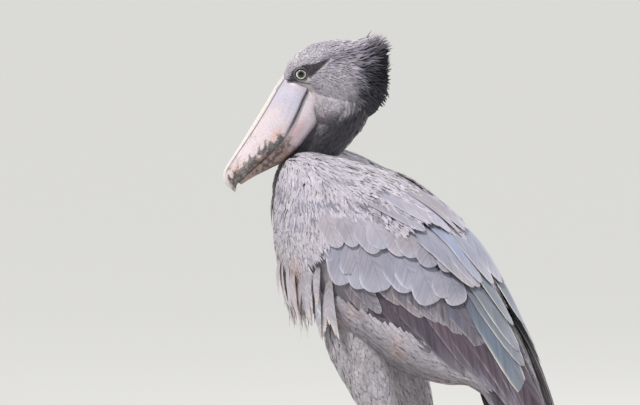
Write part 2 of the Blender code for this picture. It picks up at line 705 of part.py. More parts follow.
def wing_vanes(side):
    """The vanes of one folded wing, from the long flight feathers up to the scapulars."""
    made = []
    # Flight feathers, from the lowest to those under the scapulars, run back to the wing tip
    for k in range(6):
        share = k / 5
        root = (6.1 + 1.6 * share, 8 + 50 * share)
        tip = (8.2 + 3.6 * math.sin(share * 1.5), 8 + 44 * share ** 1.2)
        lift = -0.0052 + 0.0014 * k
        made.append(laid(root, tip, 0.038, lift, side, ridge=0.00042, root=lift - 0.0128))
    # Greater coverts hang across the wing, their round tips in a rising line
    for k in range(5):
        share = k / 4
        root = (4.45 + 2.05 * share, 16 + 36 * share)
        tip = (5.55 + 1.90 * share, -5 + 43 * share)
        made.append(laid(root, tip, 0.054, 0.0002, side, roll=-0.0013, blunt=6))
    # Median coverts lie over their roots
    for k in range(5):
        share = k / 4
        root = (3.75 + 2.30 * share, 26 + 34 * share)
        tip = (4.70 + 2.10 * share, 5 + 42 * share)
        made.append(laid(root, tip, 0.047, 0.0040, side, roll=-0.0012, rows=4))
    # Tertials sweep back along the top of the wing
    for root, tip, width in (
        ((6.9, 60), (9.35, 52), 0.044), ((6.6, 69), (8.75, 64), 0.044), ((6.3, 79), (8.2, 78), 0.040),
    ):
        made.append(laid(root, tip, width, 0.0045, side, roll=-0.0010))
    # Scapulars cover the seam between wing and back
    for root, tip, width, lift in (
        ((4.9, 58), (6.65, 62), 0.046, 0.0076), ((4.6, 71), (6.2, 77), 0.044, 0.0064),
        ((3.6, 60), (5.2, 66), 0.044, 0.0096),
    ):
        made.append(laid(root, tip, width, lift, side, roll=-0.0012))
    # Long pointed plumes hang from the lower front edge
    for k in range(5):
        share = k / 4
        root = hull(2.25 + 2.2 * share, math.radians(-26 + 9 * share), -0.0125)
        drop = (0.004, 0.012 * share - 0.010, -0.100 - 0.012 * math.sin(7 * share))
        start, end = root * (side, 1, 1), (root + drop) * (side, 1, 1)
        facing = (side * (0.35 + 0.65 * share), -1 + 0.9 * share, 0.0)
        made.append(hanging(start, end, facing, 0.026, bow=0.008, rows=5))
    return made


def tail_vanes():
    """Twelve tail feathers in a shallow fan, each pair under the one nearer the middle."""
    root, end = np.array(TAIL_ROOT), np.array(TAIL_END)
    run = (end - root) / np.linalg.norm(end - root)
    upward = np.array((0.0, -run[2], run[1]))
    made = []
    for k in range(12):
        place = k - 5.5
        spread = math.radians(2.7 * place)
        ray = math.cos(spread) * run + math.sin(spread) * np.array((1.0, 0, 0))
        order = 2 * abs(place) - 1 + (place < 0)
        height = upward * (0.005 - 0.0012 * order)
        start = root + ray * 0.045 + height * 0.9
        length = np.linalg.norm(end - root) - 0.0016 * place ** 2
        made.append(hanging(start, root + ray * length + height, upward, 0.036,
                            rows=3, blunt=6, edge=0.00025, ridge=0.0004))
    return made


def crest_locks():
    """The short shaggy crest on the back of the head, lock by lock."""
    made = []
    for row, (back, up, spread, count, rise, length) in enumerate((
        (-0.074, 0.043, 0.022, 3, 27, 0.060), (-0.098, 0.034, 0.030, 4, 11, 0.056),
        (-0.112, 0.012, 0.034, 4, -3, 0.047), (-0.116, -0.014, 0.032, 4, -20, 0.045),
        (-0.108, -0.040, 0.024, 3, -42, 0.046),
    )):
        for k in range(count):
            place = 2 * k / (count - 1) - 1
            start = in_head(back, place * spread, up - 0.008 * place ** 2)
            climb = math.radians(rise + 5 * math.sin(2.1 * k + row))
            reach = length * (1 - 0.12 * place ** 2 + 0.06 * math.sin(3.7 * k + 1.3 * row))
            run = -math.cos(climb) * FORWARD + math.sin(climb) * UPWARD + 0.30 * place * LEFTWARD
            facing = math.sin(climb) * FORWARD + math.cos(climb) * UPWARD + 0.9 * place * LEFTWARD
            made.append(lock(start, start + run * reach, facing, 0.0230, 0.0050, bow=0.003))
    return made


def breast_plumes():
    """Long pointed plumes hanging from the lower neck over the breast."""
    made = []
    for k in range(7):
        angle = math.radians(-57 - 66 * k / 6)
        root = hull(1.75, angle, -0.008)
        drop = (0.0, -0.010, -0.088 - 0.014 * math.sin(2.3 * k))
        made.append(hanging(root, root + drop, (0.5 * math.cos(angle), -1.0, 0.0), 0.022, bow=0.005, rows=5))
    return made


# The bird

def clear_scene():
    """Removes whatever the scene holds."""
    for old in list(bpy.data.objects):
        bpy.data.objects.remove(old)


def neck(name, look):
    """The thick neck, drawn in between head and breast."""
    rows = smooth(NECK, np.linspace(0, len(NECK) - 1, 12))
    return tube(name, rows[:, :3], rows[:, 4], 14, look=look, side_radii=rows[:, 3])


def tail_core(name):
    """The flesh and coverts at the root of the tail."""
    root, end = np.array(TAIL_ROOT), np.array(TAIL_END)
    share = np.linspace(-0.1, 0.5, 6)
    path = root + (end - root) * share[:, None]
    wide = np.interp(share, (-0.1, 0.1, 0.35, 0.5), (0.022, 0.034, 0.040, 0.030))
    deep = np.interp(share, (-0.1, 0.1, 0.35, 0.5), (0.020, 0.019, 0.010, 0.003))
    return tube(name, path, deep, 12, side_radii=wide)


def skull_forms():
    """The skull and the cheeks under it, as two closed forms that overlap."""
    return [loft("skull", oval_rings(SKULL, 12, 16)), loft("cheeks", oval_rings(CHEEK, 7, 10))]


def build():
    """Makes every part, cuts each clear of its neighbours, and stands the bird on the origin."""
    clear_scene()
    torso = fused("torso", [trunk("trunk")] + breast_plumes(), FEATHER)
    body = trunk("body")
    top_bill = upper_bill("bill_upper", HORN)
    low_bill = lower_bill("bill_lower", HORN)
    eyes = []
    rims = []
    for label, side in (("left", 1), ("right", -1)):
        centre = in_head(0.0, side * EYE_SPREAD, 0.0)
        eyes.append(ball("eye_" + label, centre, EYE_BALL, GLASS))
        rims.append(ring_tube("rim", in_head(0.0, side * (EYE_SPREAD + 0.0085), 0.0),
                              side * LEFTWARD + 0.12 * FORWARD, 0.0108, 0.0021))
    skull_room = fused("skull_room", skull_forms(), SLATE)
    head = fused("head", skull_forms() + rims + crest_locks(), SLATE)
    cleared(head, [top_bill, low_bill] + eyes, 1.5 * GAP)
    throat = neck("neck", DARK)
    cleared(throat, [body, skull_room, top_bill, low_bill])
    for label, side in (("left", 1), ("right", -1)):
        wing = fused("wing_" + label, [wing_pad("pad", side)] + wing_vanes(side), FEATHER)
        cleared(wing, [body, throat, low_bill, top_bill])
    tail = fused("tail", [tail_core("core")] + tail_vanes(), FEATHER)
    cleared(tail, [body], 1.5 * GAP)
    for label, side in (("left", 1), ("right", -1)):
        upper = thigh("thigh_" + label, side, FEATHER)
        cleared(upper, [body])
        lower = shank("shank_" + label, side, SCALE)
        cleared(upper, [lower])
        base = foot("foot_" + label, side, SCALE)
        cleared(lower, [base])
        for toe, turn, length in TOES:
            nail = claw(f"claw_{toe}_{label}", side, turn, length, CLAW)
            cleared(nail, [base])
    for helper in (body, skull_room):
        bpy.data.objects.remove(helper)
    stand_on_origin()


def stand_on_origin():
    """Moves every mesh so that the origin is under the middle of the whole bird, on the ground."""
    meshes = [item.data for item in bpy.context.scene.objects if item.type == "MESH"]
    points = np.concatenate([[vert.co[:] for vert in mesh.vertices] for mesh in meshes])
    low, high = points.min(axis=0), points.max(axis=0)
    move = -np.array(((low[0] + high[0]) / 2, (low[1] + high[1]) / 2, low[2]))
    for mesh in meshes:
        mesh.transform(mathutils.Matrix.Translation(move))


build()
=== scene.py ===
import math
import bmesh
import bpy
import numpy as np
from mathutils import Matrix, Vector


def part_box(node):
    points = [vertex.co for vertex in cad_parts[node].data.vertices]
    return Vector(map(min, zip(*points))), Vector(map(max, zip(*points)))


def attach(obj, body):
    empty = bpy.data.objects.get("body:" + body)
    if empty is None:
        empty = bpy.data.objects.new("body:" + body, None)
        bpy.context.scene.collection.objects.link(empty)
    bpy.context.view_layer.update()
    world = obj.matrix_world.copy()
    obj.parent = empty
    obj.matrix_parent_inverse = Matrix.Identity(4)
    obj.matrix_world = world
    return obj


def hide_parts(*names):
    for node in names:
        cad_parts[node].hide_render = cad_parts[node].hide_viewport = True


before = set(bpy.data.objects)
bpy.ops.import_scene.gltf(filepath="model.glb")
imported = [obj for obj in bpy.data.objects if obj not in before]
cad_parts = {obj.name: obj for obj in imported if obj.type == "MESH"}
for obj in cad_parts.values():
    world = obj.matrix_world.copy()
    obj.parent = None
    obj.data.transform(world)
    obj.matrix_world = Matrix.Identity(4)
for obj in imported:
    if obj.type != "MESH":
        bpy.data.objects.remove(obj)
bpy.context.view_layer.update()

EYE_MIDDLE = np.array((0.0333, -0.1253, 0.976))
HEAD_TURN = math.radians(25)
EYE_SPREAD = 0.0302
forward = np.array((math.sin(HEAD_TURN), -math.cos(HEAD_TURN), 0.0))
leftward = np.array((math.cos(HEAD_TURN), math.sin(HEAD_TURN), 0.0))
upward = np.array((0.0, 0.0, 1.0))
eye_low, eye_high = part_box("eye_left")
stand = (np.array(eye_low) + np.array(eye_high)) / 2 - (EYE_MIDDLE + EYE_SPREAD * leftward)


# THE FLESH
# One skin under all the feathers: trunk, folded wings, neck, head, thighs and the root of the tail, grown
# together with no seam. Only the bare skin of the face shows; everywhere else the plumage hides it.
HULL = np.array((
    (-0.167, 0.713, 0.026, 0.026, 0.026, 0), (-0.159, 0.714, 0.074, 0.082, 0.072, 1),
    (-0.141, 0.715, 0.110, 0.132, 0.106, 3), (-0.105, 0.712, 0.129, 0.146, 0.134, 9),
    (-0.050, 0.687, 0.142, 0.139, 0.149, 18), (0.015, 0.645, 0.146, 0.136, 0.150, 30),
    (0.080, 0.592, 0.139, 0.135, 0.138, 37), (0.140, 0.535, 0.122, 0.122, 0.115, 41),
    (0.197, 0.478, 0.098, 0.101, 0.088, 45), (0.250, 0.425, 0.073, 0.078, 0.062, 50),
    (0.300, 0.362, 0.049, 0.054, 0.040, 55), (0.338, 0.298, 0.028, 0.030, 0.022, 58),
    (0.354, 0.262, 0.010, 0.012, 0.010, 58),
))
BOXINESS = 2.5
DIP = np.array((0.0, 0.08, 0.16, 0.17, 0.09, 0.02, 0, 0, 0, 0, 0, 0, 0))[:, None]
WING_LOW = np.radians((-70, -62, -52, -42, -34, -27, -19, -11, -5, -1, 3, 6, 8))[:, None]
WING_HIGH = np.radians((60, 62, 65, 67, 70, 74, 80, 86, 90, 90, 90, 90, 90))[:, None]
WING_DEEP = np.array((10, 18, 22, 24, 23, 22, 20, 18, 16, 14, 12, 11, 10))[:, None] / 1000
NECK = np.array((
    (0.008, -0.068, 0.948, 0.034, 0.038), (0.002, -0.053, 0.915, 0.043, 0.045),
    (0.004, -0.074, 0.880, 0.043, 0.042), (0.008, -0.103, 0.844, 0.041, 0.040),
    (0.008, -0.129, 0.804, 0.046, 0.045), (0.002, -0.136, 0.760, 0.052, 0.056),
    (0.000, -0.112, 0.720, 0.050, 0.046), (0.000, -0.085, 0.685, 0.040, 0.036),
))
SKULL = np.array((
    (0.0335, -0.006, 0.010, 0.007, 0.008), (0.0290, -0.006, 0.025, 0.016, 0.018),
    (0.0160, -0.003, 0.0345, 0.0295, 0.034), (-0.002, 0.002, 0.0400, 0.040, 0.044),
    (-0.027, 0.004, 0.0465, 0.050, 0.056), (-0.057, 0.000, 0.0510, 0.058, 0.068),
    (-0.088, -0.006, 0.0500, 0.062, 0.072), (-0.117, -0.012, 0.0430, 0.058, 0.066),
    (-0.137, -0.014, 0.0300, 0.044, 0.048), (-0.147, -0.014, 0.0120, 0.018, 0.020),
))
CHEEK = np.array((
    (-0.008, -0.040, 0.018, 0.016), (-0.020, -0.052, 0.038, 0.032), (-0.045, -0.062, 0.046, 0.041),
    (-0.075, -0.060, 0.044, 0.040), (-0.100, -0.052, 0.030, 0.029), (-0.110, -0.048, 0.012, 0.012),
))
LEG_X, KNEE, ANKLE, FOOT = 0.070, (-0.010, 0.525), (0.103, 0.262), (0.046, 0.020)
TAIL_ROOT, TAIL_END = np.array((0.0, 0.216, 0.450)), np.array((0.0, 0.334, 0.272))
LIP = 0.004


def smooth(rows, at):
    """Catmull-Rom: each place between two rows of a table is a cubic through its four neighbours, and past its
    ends the table goes on in a straight line."""
    rows, asked = np.asarray(rows, float), np.asarray(at, float)
    at = np.clip(asked, 0, len(rows) - 1.000001)
    low = np.floor(at).astype(int)
    t = (at - low)[..., None]
    ends = np.vstack((2 * rows[:1] - rows[1:2], rows, 2 * rows[-1:] - rows[-2:-1]))
    a, b, c, d = (ends[low + k] for k in range(4))
    past = (asked - at)[..., None] * np.where(asked[..., None] < 0, rows[1] - rows[0], rows[-1] - rows[-2])
    return b + t / 2 * (c - a + t * (2 * a - 5 * b + 4 * c - d + t * (3 * (b - c) + d - a))) + past


def step(low, high, x):
    """Smoothstep: 0 below low, 1 above high, and 3t^2 - 2t^3 between."""
    t = np.clip((np.asarray(x, float) - low) / (high - low), 0, 1)
    return t * t * (3 - 2 * t)


def power(x, p):
    return np.sign(x) * np.abs(x) ** p


def hull(s, phi):
    """A superellipse |x/w|^2.5 + |h/H|^2.5 = 1 at each station s, leaning back, phi from left (0) over the back."""
    y, z, wide, above, below, lean = np.moveaxis(smooth(HULL, s), -1, 0)
    wide, above, below = (np.maximum(v, 0.004) for v in (wide, above, below))
    c, n = np.cos(phi), np.sin(phi)
    h = np.where(n > 0, above, below) * power(n, 2 / BOXINESS)
    off_middle = np.abs(np.angle(np.exp(1j * (phi - math.pi / 2))))
    h = h * (1 - smooth(DIP, s)[..., 0] * np.exp(-(off_middle / 0.55) ** 2))
    lean = np.radians(lean)
    return stand + np.stack((wide * power(c, 2 / BOXINESS), y + h * np.sin(lean), z + h * np.cos(lean)), -1)


def in_head(ahead, left, up):
    """A place in the head as steps forward, left and up from the middle of the eyes."""
    ahead, left, up = (np.asarray(v, float)[..., None] for v in (ahead, left, up))
    return stand + EYE_MIDDLE + ahead * forward + left * leftward + up * upward


def skull(t, turn):
    """Ellipses along the head, in polar form, with the cheek's ellipses blended in as a soft greatest radius."""
    ahead, up, half, above, below = np.moveaxis(smooth(SKULL, t), -1, 0)
    half, above, below = (np.maximum(v, 0.003) for v in (half, above, below))
    c, n = np.cos(turn), np.sin(turn)
    own = 1 / np.sqrt((c / half) ** 2 + (n / np.where(n > 0, above, below)) ** 2)
    cheek = smooth(CHEEK, np.interp(-ahead, -CHEEK[:, 0], np.arange(len(CHEEK))))
    fits = (ahead < CHEEK[0, 0]) & (ahead > CHEEK[-1, 0])
    middle, wide, tall = cheek[..., 1] - up, cheek[..., 2], cheek[..., 3]
    a = (c / wide) ** 2 + (n / tall) ** 2
    b = -2 * n * middle / tall ** 2
    inside = b * b - 4 * a * ((middle / tall) ** 2 - 1)
    far = np.where(fits & (inside > 0), (-b + np.sqrt(np.maximum(inside, 0))) / (2 * a), 0)
    radius = np.log(np.exp(500 * own) + np.exp(500 * far)) / 500
    return in_head(ahead, radius * c, up + radius * n)


def along_path(table, t, turn, steps=1e-3):
    """Ovals square to a path: the middle runs down the table, the half width lies across and the half depth along."""
    row = smooth(table, t)
    run = smooth(table[:, :3], np.asarray(t) + steps) - smooth(table[:, :3], np.asarray(t) - steps)
    run /= np.linalg.norm(run, axis=-1, keepdims=True)
    across = np.array((1.0, 0, 0)) - run * run[..., :1]
    across /= np.linalg.norm(across, axis=-1, keepdims=True)
    other = np.cross(across, run)
    wide, deep = np.maximum(row[..., 3:4], 0.003), np.maximum(row[..., 4:5], 0.003)
    c, n = np.cos(turn)[..., None], np.sin(turn)[..., None]
    return stand + row[..., :3] + c * wide * across + n * deep * other


def neck(t, turn):
    return along_path(NECK, t, turn)


def thigh_table(side):
    """The feathered thigh and shin: middle, half width and half depth from the knee down to the bare shin."""
    share = np.array((-0.06, 0.10, 0.25, 0.40, 0.53, 0.65, 0.76, 0.80))
    deep = np.array((0.050, 0.056, 0.051, 0.044, 0.0365, 0.029, 0.021, 0.014))
    knee, ankle = np.array((side * LEG_X, *KNEE)), np.array((side * LEG_X, *ANKLE))
    return np.column_stack((knee + (ankle - knee) * share[:, None], deep * 0.82, deep))


thighs = {side: thigh_table(side) for side in (1, -1)}


def thigh_left(t, turn):
    return along_path(thighs[1], t, turn)


def thigh_right(t, turn):
    return along_path(thighs[-1], t, turn)


def tail_base(t, turn):
    share = np.array((-0.1, 0.0, 0.1, 0.22, 0.35, 0.5))
    wide = np.array((0.022, 0.029, 0.034, 0.038, 0.040, 0.030))
    deep = np.array((0.020, 0.020, 0.019, 0.014, 0.010, 0.003))
    middle = TAIL_ROOT + (TAIL_END - TAIL_ROOT) * share[:, None]
    return along_path(np.column_stack((middle, wide, deep)), t, turn)


def normals(bare, u, v):
    """Unit normals of a surface from central differences."""
    du, dv = 0.01, 0.01
    pu = bare(u + du, v) - bare(u - du, v)
    pv = bare(u, v + dv) - bare(u, v - dv)
    out = np.cross(pu, pv)
    out /= np.maximum(np.linalg.norm(out, axis=-1, keepdims=True), 1e-12)
    return out


def raised(bare, u, v, lift):
    return bare(u, v) + normals(bare, u, v) * np.asarray(lift)[..., None]


def mesh_of(name, points, faces):
    """A smooth-shaded mesh object from whole arrays of points and of triangles or quads."""
    points, faces = np.asarray(points, np.float32).reshape(-1, 3), np.asarray(faces, np.int32)
    corners = faces.shape[1]
    mesh = bpy.data.meshes.new(name)
    mesh.vertices.add(len(points))
    mesh.vertices.foreach_set("co", points.ravel())
    mesh.loops.add(faces.size)
    mesh.loops.foreach_set("vertex_index", faces.ravel())
    mesh.polygons.add(len(faces))
    mesh.polygons.foreach_set("loop_start", np.arange(0, faces.size, corners, dtype=np.int32))
    mesh.update(calc_edges=True)
    mesh.shade_smooth()
    made = bpy.data.objects.new(name, mesh)
    bpy.context.scene.collection.objects.link(made)
    return made


def tube_faces(rings, sides):
    """Quads between closed rings of points, in order along a tube."""
    one = np.arange(rings - 1)[:, None] * sides + np.arange(sides)
    two = np.arange(rings - 1)[:, None] * sides + (np.arange(sides) + 1) % sides
    return np.stack((one, two, two + sides, one + sides), axis=-1).reshape(-1, 4)


def closed_tube(name, rings):
    """A tube through rings of points, each end closed to a point in its middle."""
    rings = np.asarray(rings)
    count, sides = rings.shape[:2]
    ends = [np.repeat(ring.mean(axis=0)[None], sides, 0) for ring in (rings[0], rings[-1])]
    rings = np.concatenate((ends[0][None], rings, ends[1][None]))
    made = mesh_of(name, rings, tube_faces(count + 2, sides))
    mend(made)
    return made


def mend(piece, distance=1e-6):
    """Merges doubled points and turns every face outwards."""
    shape = bmesh.new()
    shape.from_mesh(piece.data)
    bmesh.ops.remove_doubles(shape, verts=shape.verts, dist=distance)
    bmesh.ops.dissolve_degenerate(shape, dist=distance, edges=shape.edges)
    bmesh.ops.recalc_face_normals(shape, faces=shape.faces)
    shape.to_mesh(piece.data)
    shape.free()
    piece.data.shade_smooth()


def wing_pad(side, top=-0.0115):
    """The folded wing as flesh: a flat tube between two sheets under the hull's side."""
    s = np.linspace(1.2, 9.7, 54)[:, None]
    share = np.linspace(0, 1, 24)
    low, high = smooth(WING_LOW, s[:, 0]), smooth(WING_HIGH, s[:, 0])
    phi = low + (high - low) * (0.04 + 0.92 * share)
    deep = smooth(WING_DEEP, s[:, 0]) + 0.002 + 0.003 * step(7.5, 9.0, s)
    rim = (2 * share - 1) ** 6 * (1 - 0.75 * step(6.5, 8.0, s))
    upper = raised(hull, s + 0 * phi, phi, top - 0.003 * rim + 0 * phi)
    lower = raised(hull, s + 0 * phi, phi, -deep + 0.003 * rim + 0 * phi)
    rings = np.concatenate((upper, lower[:, ::-1]), axis=1) - stand
    rings[..., 0] = np.maximum(rings[..., 0], 0.001) * side
    return rings + stand


def trunk(s, phi):
    """The hull without the wings: towards the rump it draws in."""
    return raised(hull, s, phi, -np.interp(s, (7.0, 7.8, 8.3, 8.7), (0.0, 0.008, 0.018, 0.032)))


turns = np.linspace(0, 2 * math.pi, 49)[:-1]
trunk_s = np.linspace(0.1, 8.7, 60)[:, None]
lofts = [
    raised(trunk, trunk_s + 0 * turns, turns + 0 * trunk_s, np.full((60, 48), -0.0095)),
    wing_pad(1), wing_pad(-1),
    raised(skull, np.linspace(0.05, 8.95, 70)[:, None] + 0 * turns, turns + np.zeros((70, 1)), np.full((70, 48), -0.0022)),
    raised(neck, np.linspace(0, 6.9, 50)[:, None] + 0 * turns, turns + np.zeros((50, 1)), np.full((50, 48), -0.005)),
    raised(thigh_left, np.linspace(0, 6.6, 40)[:, None] + 0 * turns, turns + np.zeros((40, 1)), np.full((40, 48), -0.006)),
    raised(thigh_right, np.linspace(0, 6.6, 40)[:, None] + 0 * turns, turns + np.zeros((40, 1)), np.full((40, 48), -0.006)),
    tail_base(np.linspace(0, 4.9, 30)[:, None] + 0 * turns, turns + np.zeros((30, 1))),
]


def signed_out(name, rings):
    """A closed tube through the rings, its faces turned outwards by mend."""
    return closed_tube(name, rings)


pieces = [signed_out(f"flesh_{k}", rings) for k, rings in enumerate(lofts)]
for piece in pieces[1:]:
    joined = bmesh.new()
    joined.from_mesh(pieces[0].data)
    joined.from_mesh(piece.data)
    joined.to_mesh(pieces[0].data)
    joined.free()
    bpy.data.objects.remove(piece)
skin = pieces[0]
skin.name = skin.data.name = "skin"


def applied(piece):
    """Takes the piece's modifiers into its mesh."""
    graph = bpy.context.evaluated_depsgraph_get()
    mesh = bpy.data.meshes.new_from_object(piece.evaluated_get(graph))
    old = piece.data
    piece.modifiers.clear()
    piece.data = mesh
    bpy.data.meshes.remove(old)
    mesh.shade_smooth()


remesh = skin.modifiers.new("grown_together", "REMESH")
remesh.mode, remesh.voxel_size = "VOXEL", 0.0048
soften = skin.modifiers.new("soften", "SMOOTH")
soften.factor, soften.iterations = 0.5, 4
applied(skin)


# THE PLUMAGE
# Every feather is a thin closed vane of its own, rooted in the skin and following the surface under it:
# a rounded or pointed blade with a raised shaft, its edges bent down a little over the next feather's root.
def colour(red, green, blue):
    """A screen colour from 0 to 255 as linear light."""
    share = np.array((red, green, blue)) / 255
    return np.where(share <= 0.04045, share / 12.92, ((share + 0.055) / 1.055) ** 2.4)


def tangents(bare, u, v):
    """Change of place per unit of u and of v, and the outward normal, by central differences."""
    du, dv = 0.02, 0.01
    pu = (bare(u + du, v) - bare(u - du, v)) / (2 * du)
    pv = (bare(u, v + dv) - bare(u, v - dv)) / (2 * dv)
    out = np.cross(pu, pv)
    out /= np.maximum(np.linalg.norm(out, axis=-1, keepdims=True), 1e-12)
    return pu, pv, out


def in_surface(pu, pv, way):
    """The steps in u and v that move along a way lying in the surface: the 2 by 2 normal equations. The steps
    stay under 2.5 times the usual one in u and 6 times in v, also where the surface is pinched in a bend."""
    uu, vv, uv = (pu * pu).sum(-1), (pv * pv).sum(-1), (pu * pv).sum(-1)
    a, b = (way * pu).sum(-1), (way * pv).sum(-1)
    scale = np.maximum(uu * vv - uv * uv, 1e-14)
    most_u, most_v = 2.5 / np.sqrt(uu).mean(), 6 / np.sqrt(vv).mean()
    return np.clip((a * vv - b * uv) / scale, -most_u, most_u), np.clip((b * uu - a * uv) / scale, -most_v, most_v)


def spread(bare, u_ends, v_ends, along, across, seed):
    """Places over a surface in rows an even distance apart, every other row shifted by half, each moved a little."""
    draw = np.random.default_rng(seed)
    u_fine, v_fine = np.linspace(*u_ends, 160), np.linspace(*v_ends, 145)
    grid = bare(u_fine[:, None] + 0 * v_fine, v_fine + 0 * u_fine[:, None])
    gone = np.linalg.norm(np.diff(grid, axis=0), axis=-1).mean(axis=1)
    gone = np.concatenate(((0,), np.cumsum(gone)))
    rows = np.interp(np.arange(along / 2, gone[-1], along), gone, u_fine)
    us, vs = [], []
    for k, u in enumerate(rows):
        ring = bare(np.full(len(v_fine), u), v_fine)
        round_it = np.concatenate(((0,), np.cumsum(np.linalg.norm(np.diff(ring, axis=0), axis=-1))))
        count = max(int(round_it[-1] / across), 1)
        at = (np.arange(count) + 0.5 * (k % 2) + draw.uniform(-0.3, 0.3, count)) / count
        vs.append(np.interp(np.mod(at, 1) * round_it[-1], round_it, v_fine))
        us.append(np.full(count, u) + draw.uniform(-0.3, 0.3, count) * (rows[1] - rows[0]))
    return np.clip(np.concatenate(us), *u_ends), np.concatenate(vs)


def blade_width(t, root, blunt, point):
    """Half width along a vane: it opens from the root as a sine and closes as a rounded or a pointed tip."""
    opening = root + (1 - root) * np.sin(np.clip(t / 0.45, 0, 1) * math.pi / 2)
    rounded = np.sqrt(np.clip(1 - t ** blunt, 0, 1))
    pointed = np.clip(1 - t, 0, 1) ** 0.75 * (0.55 + 0.9 * t)
    return np.maximum(opening * ((1 - point) * rounded + point * pointed), 0.035)


def feathers(name, bare, u, v, length, width, tints, way=None, ends=None, rows=6, columns=1, root=0.35,
             blunt=2.6, point=0.0, sink=-0.003, tip=0.003, roll=0.0, curl=0.0, camber=0.0, thick=0.00035,
             ragged=0.0, seed=0, patch=0.003, unwrap=(0.0, 1.0), edge=None, free=None, loose=0.0,
             sway=0.0):
    """Vanes over a surface. Each runs a length along its way (or to its own end place), lies at a height that
    grows from sink to tip, and is a closed strip whose cross section is a thin lens. A loose share of each
    leaves the surface and goes straight along free. tints holds the colour at root, middle and tip."""
    draw = np.random.default_rng(seed)
    u, v = np.asarray(u, float), np.asarray(v, float)
    count = len(u)
    full = lambda value: np.broadcast_to(np.asarray(value, float), (count,))[:, None]
    length, width, sink, tip, roll, curl, camber, sway = map(full, (length, width, sink, tip, roll, curl, camber, sway))
    t = (1 - (1 - np.linspace(0, 1, rows)) ** 1.35)[None, :]
    if ends is None:
        pu, pv, out = tangents(bare, u, v)
        lie = np.broadcast_to(way, (count, 3)) if np.ndim(way) == 1 else way
        lie = lie - out * (lie * out).sum(-1, keepdims=True)
        lie = lie / np.maximum(np.linalg.norm(lie, axis=-1, keepdims=True), 1e-9)
        go_u, go_v = in_surface(pu, pv, lie)
        uc, vc = u[:, None] + go_u[:, None] * length * t, v[:, None] + go_v[:, None] * length * t
    else:
        uc = u[:, None] + (np.asarray(ends[0]) - u)[:, None] * t
        vc = v[:, None] + (np.asarray(ends[1]) - v)[:, None] * t
    pu, pv, out = tangents(bare, uc, vc)
    run = pu * np.gradient(uc, axis=1)[..., None] + pv * np.gradient(vc, axis=1)[..., None]
    across = np.cross(out, run)
    across /= np.maximum(np.linalg.norm(across, axis=-1, keepdims=True), 1e-12)
    side_u, side_v = in_surface(pu, pv, across)
    # places round one cross section: over the top from edge to edge, and back underneath
    top = np.sin(np.linspace(-math.pi / 2, math.pi / 2, 2 * columns + 1))
    c = np.concatenate((top, top[-2:0:-1]))
    h = np.concatenate((1 - top ** 2, -(1 - top[-2:0:-1] ** 2)))
    ring = len(c)
    half = width / 2 * blade_width(t, root, blunt, point)
    half = half * (1 + ragged * draw.normal(0, 1, half.shape) * (t > 0.3))
    off = half[..., None] * c + (sway * t ** 2)[..., None]
    lift = sink + (tip - sink) * (1 - (1 - np.clip(t / 0.72, 0, 1)) ** 2.2) + curl * t ** 2.5
    share = half / (width / 2)
    lift = (lift[..., None] + (roll * share)[..., None] * c - (camber * share ** 2)[..., None] * c ** 2
            + thick * h * (1 - 0.5 * t)[..., None])
    points = raised(bare, uc[..., None] + side_u[..., None] * off, vc[..., None] + side_v[..., None] * off, lift)
    if free is not None:
        start, _, out = raised(bare, u, v, sink[:, 0]), *tangents(bare, u, v)[1:]
        free = np.broadcast_to(free, (count, 3)) / np.linalg.norm(np.broadcast_to(free, (count, 3)), axis=-1, keepdims=True)
        aside = np.cross(out, free)
        aside /= np.maximum(np.linalg.norm(aside, axis=-1, keepdims=True), 1e-9)
        over = np.cross(free, aside)
        line = start[:, None] + free[:, None] * (length * t)[..., None]
        straight = (line[:, :, None] + aside[:, None, None] * off[..., None]
                    + over[:, None, None] * (lift - sink[..., None])[..., None])
        share_loose = full(loose)[..., None, None]
        points = points * (1 - share_loose) + straight * share_loose
    # colour at each point: root, middle and tip tones along the vane, and a paler or darker rim; a root tone darker
    # than the middle is painted shade where the roots lie under the feathers over them
    tints = [np.broadcast_to(np.asarray(tint, float), (count, 3))[:, None, None] for tint in tints]
    along = np.broadcast_to(t[..., None, None], (count, rows, ring, 1))
    shade = tints[0] + (tints[1] - tints[0]) * step(0.05, 0.5, along) + (tints[2] - tints[1]) * step(0.6, 1, along)
    if edge is not None:
        near = step(0.80, 1.0, np.abs(c))[None, None, :, None] * step(0.25, 0.7, along)
        shade = shade + (np.broadcast_to(edge, (count, 3))[:, None, None] - shade) * near
    base = (np.arange(count) * rows * ring)[:, None, None]
    strip = np.arange(rows - 1)[:, None] * ring + np.arange(ring)
    after = np.arange(rows - 1)[:, None] * ring + (np.arange(ring) + 1) % ring
    quads = np.stack((strip, after, after + ring, strip + ring), -1).reshape(-1, 4)
    halves = np.concatenate((quads[:, (0, 1, 2)], quads[:, (0, 2, 3)]))
    fan = np.stack((np.zeros(ring - 2, int), np.arange(1, ring - 1), np.arange(2, ring)), -1)
    faces = np.concatenate((halves, fan[:, ::-1], fan + (rows - 1) * ring))[None] + base
    made = mesh_of(name, points, faces.reshape(-1, 3)[:, ::-1])
    mesh = made.data
    tint = mesh.attributes.new("tint", "FLOAT_COLOR", "POINT")
    tint.data.foreach_set("color", np.concatenate((shade, np.ones_like(shade[..., :1])), -1).astype(np.float32).ravel())
    chance = np.broadcast_to(draw.uniform(0, 1, count)[:, None, None], shade.shape[:3])
    own = np.stack((off, t[..., None] * length[..., None] + 3 * chance), -1)
    if patch is None:
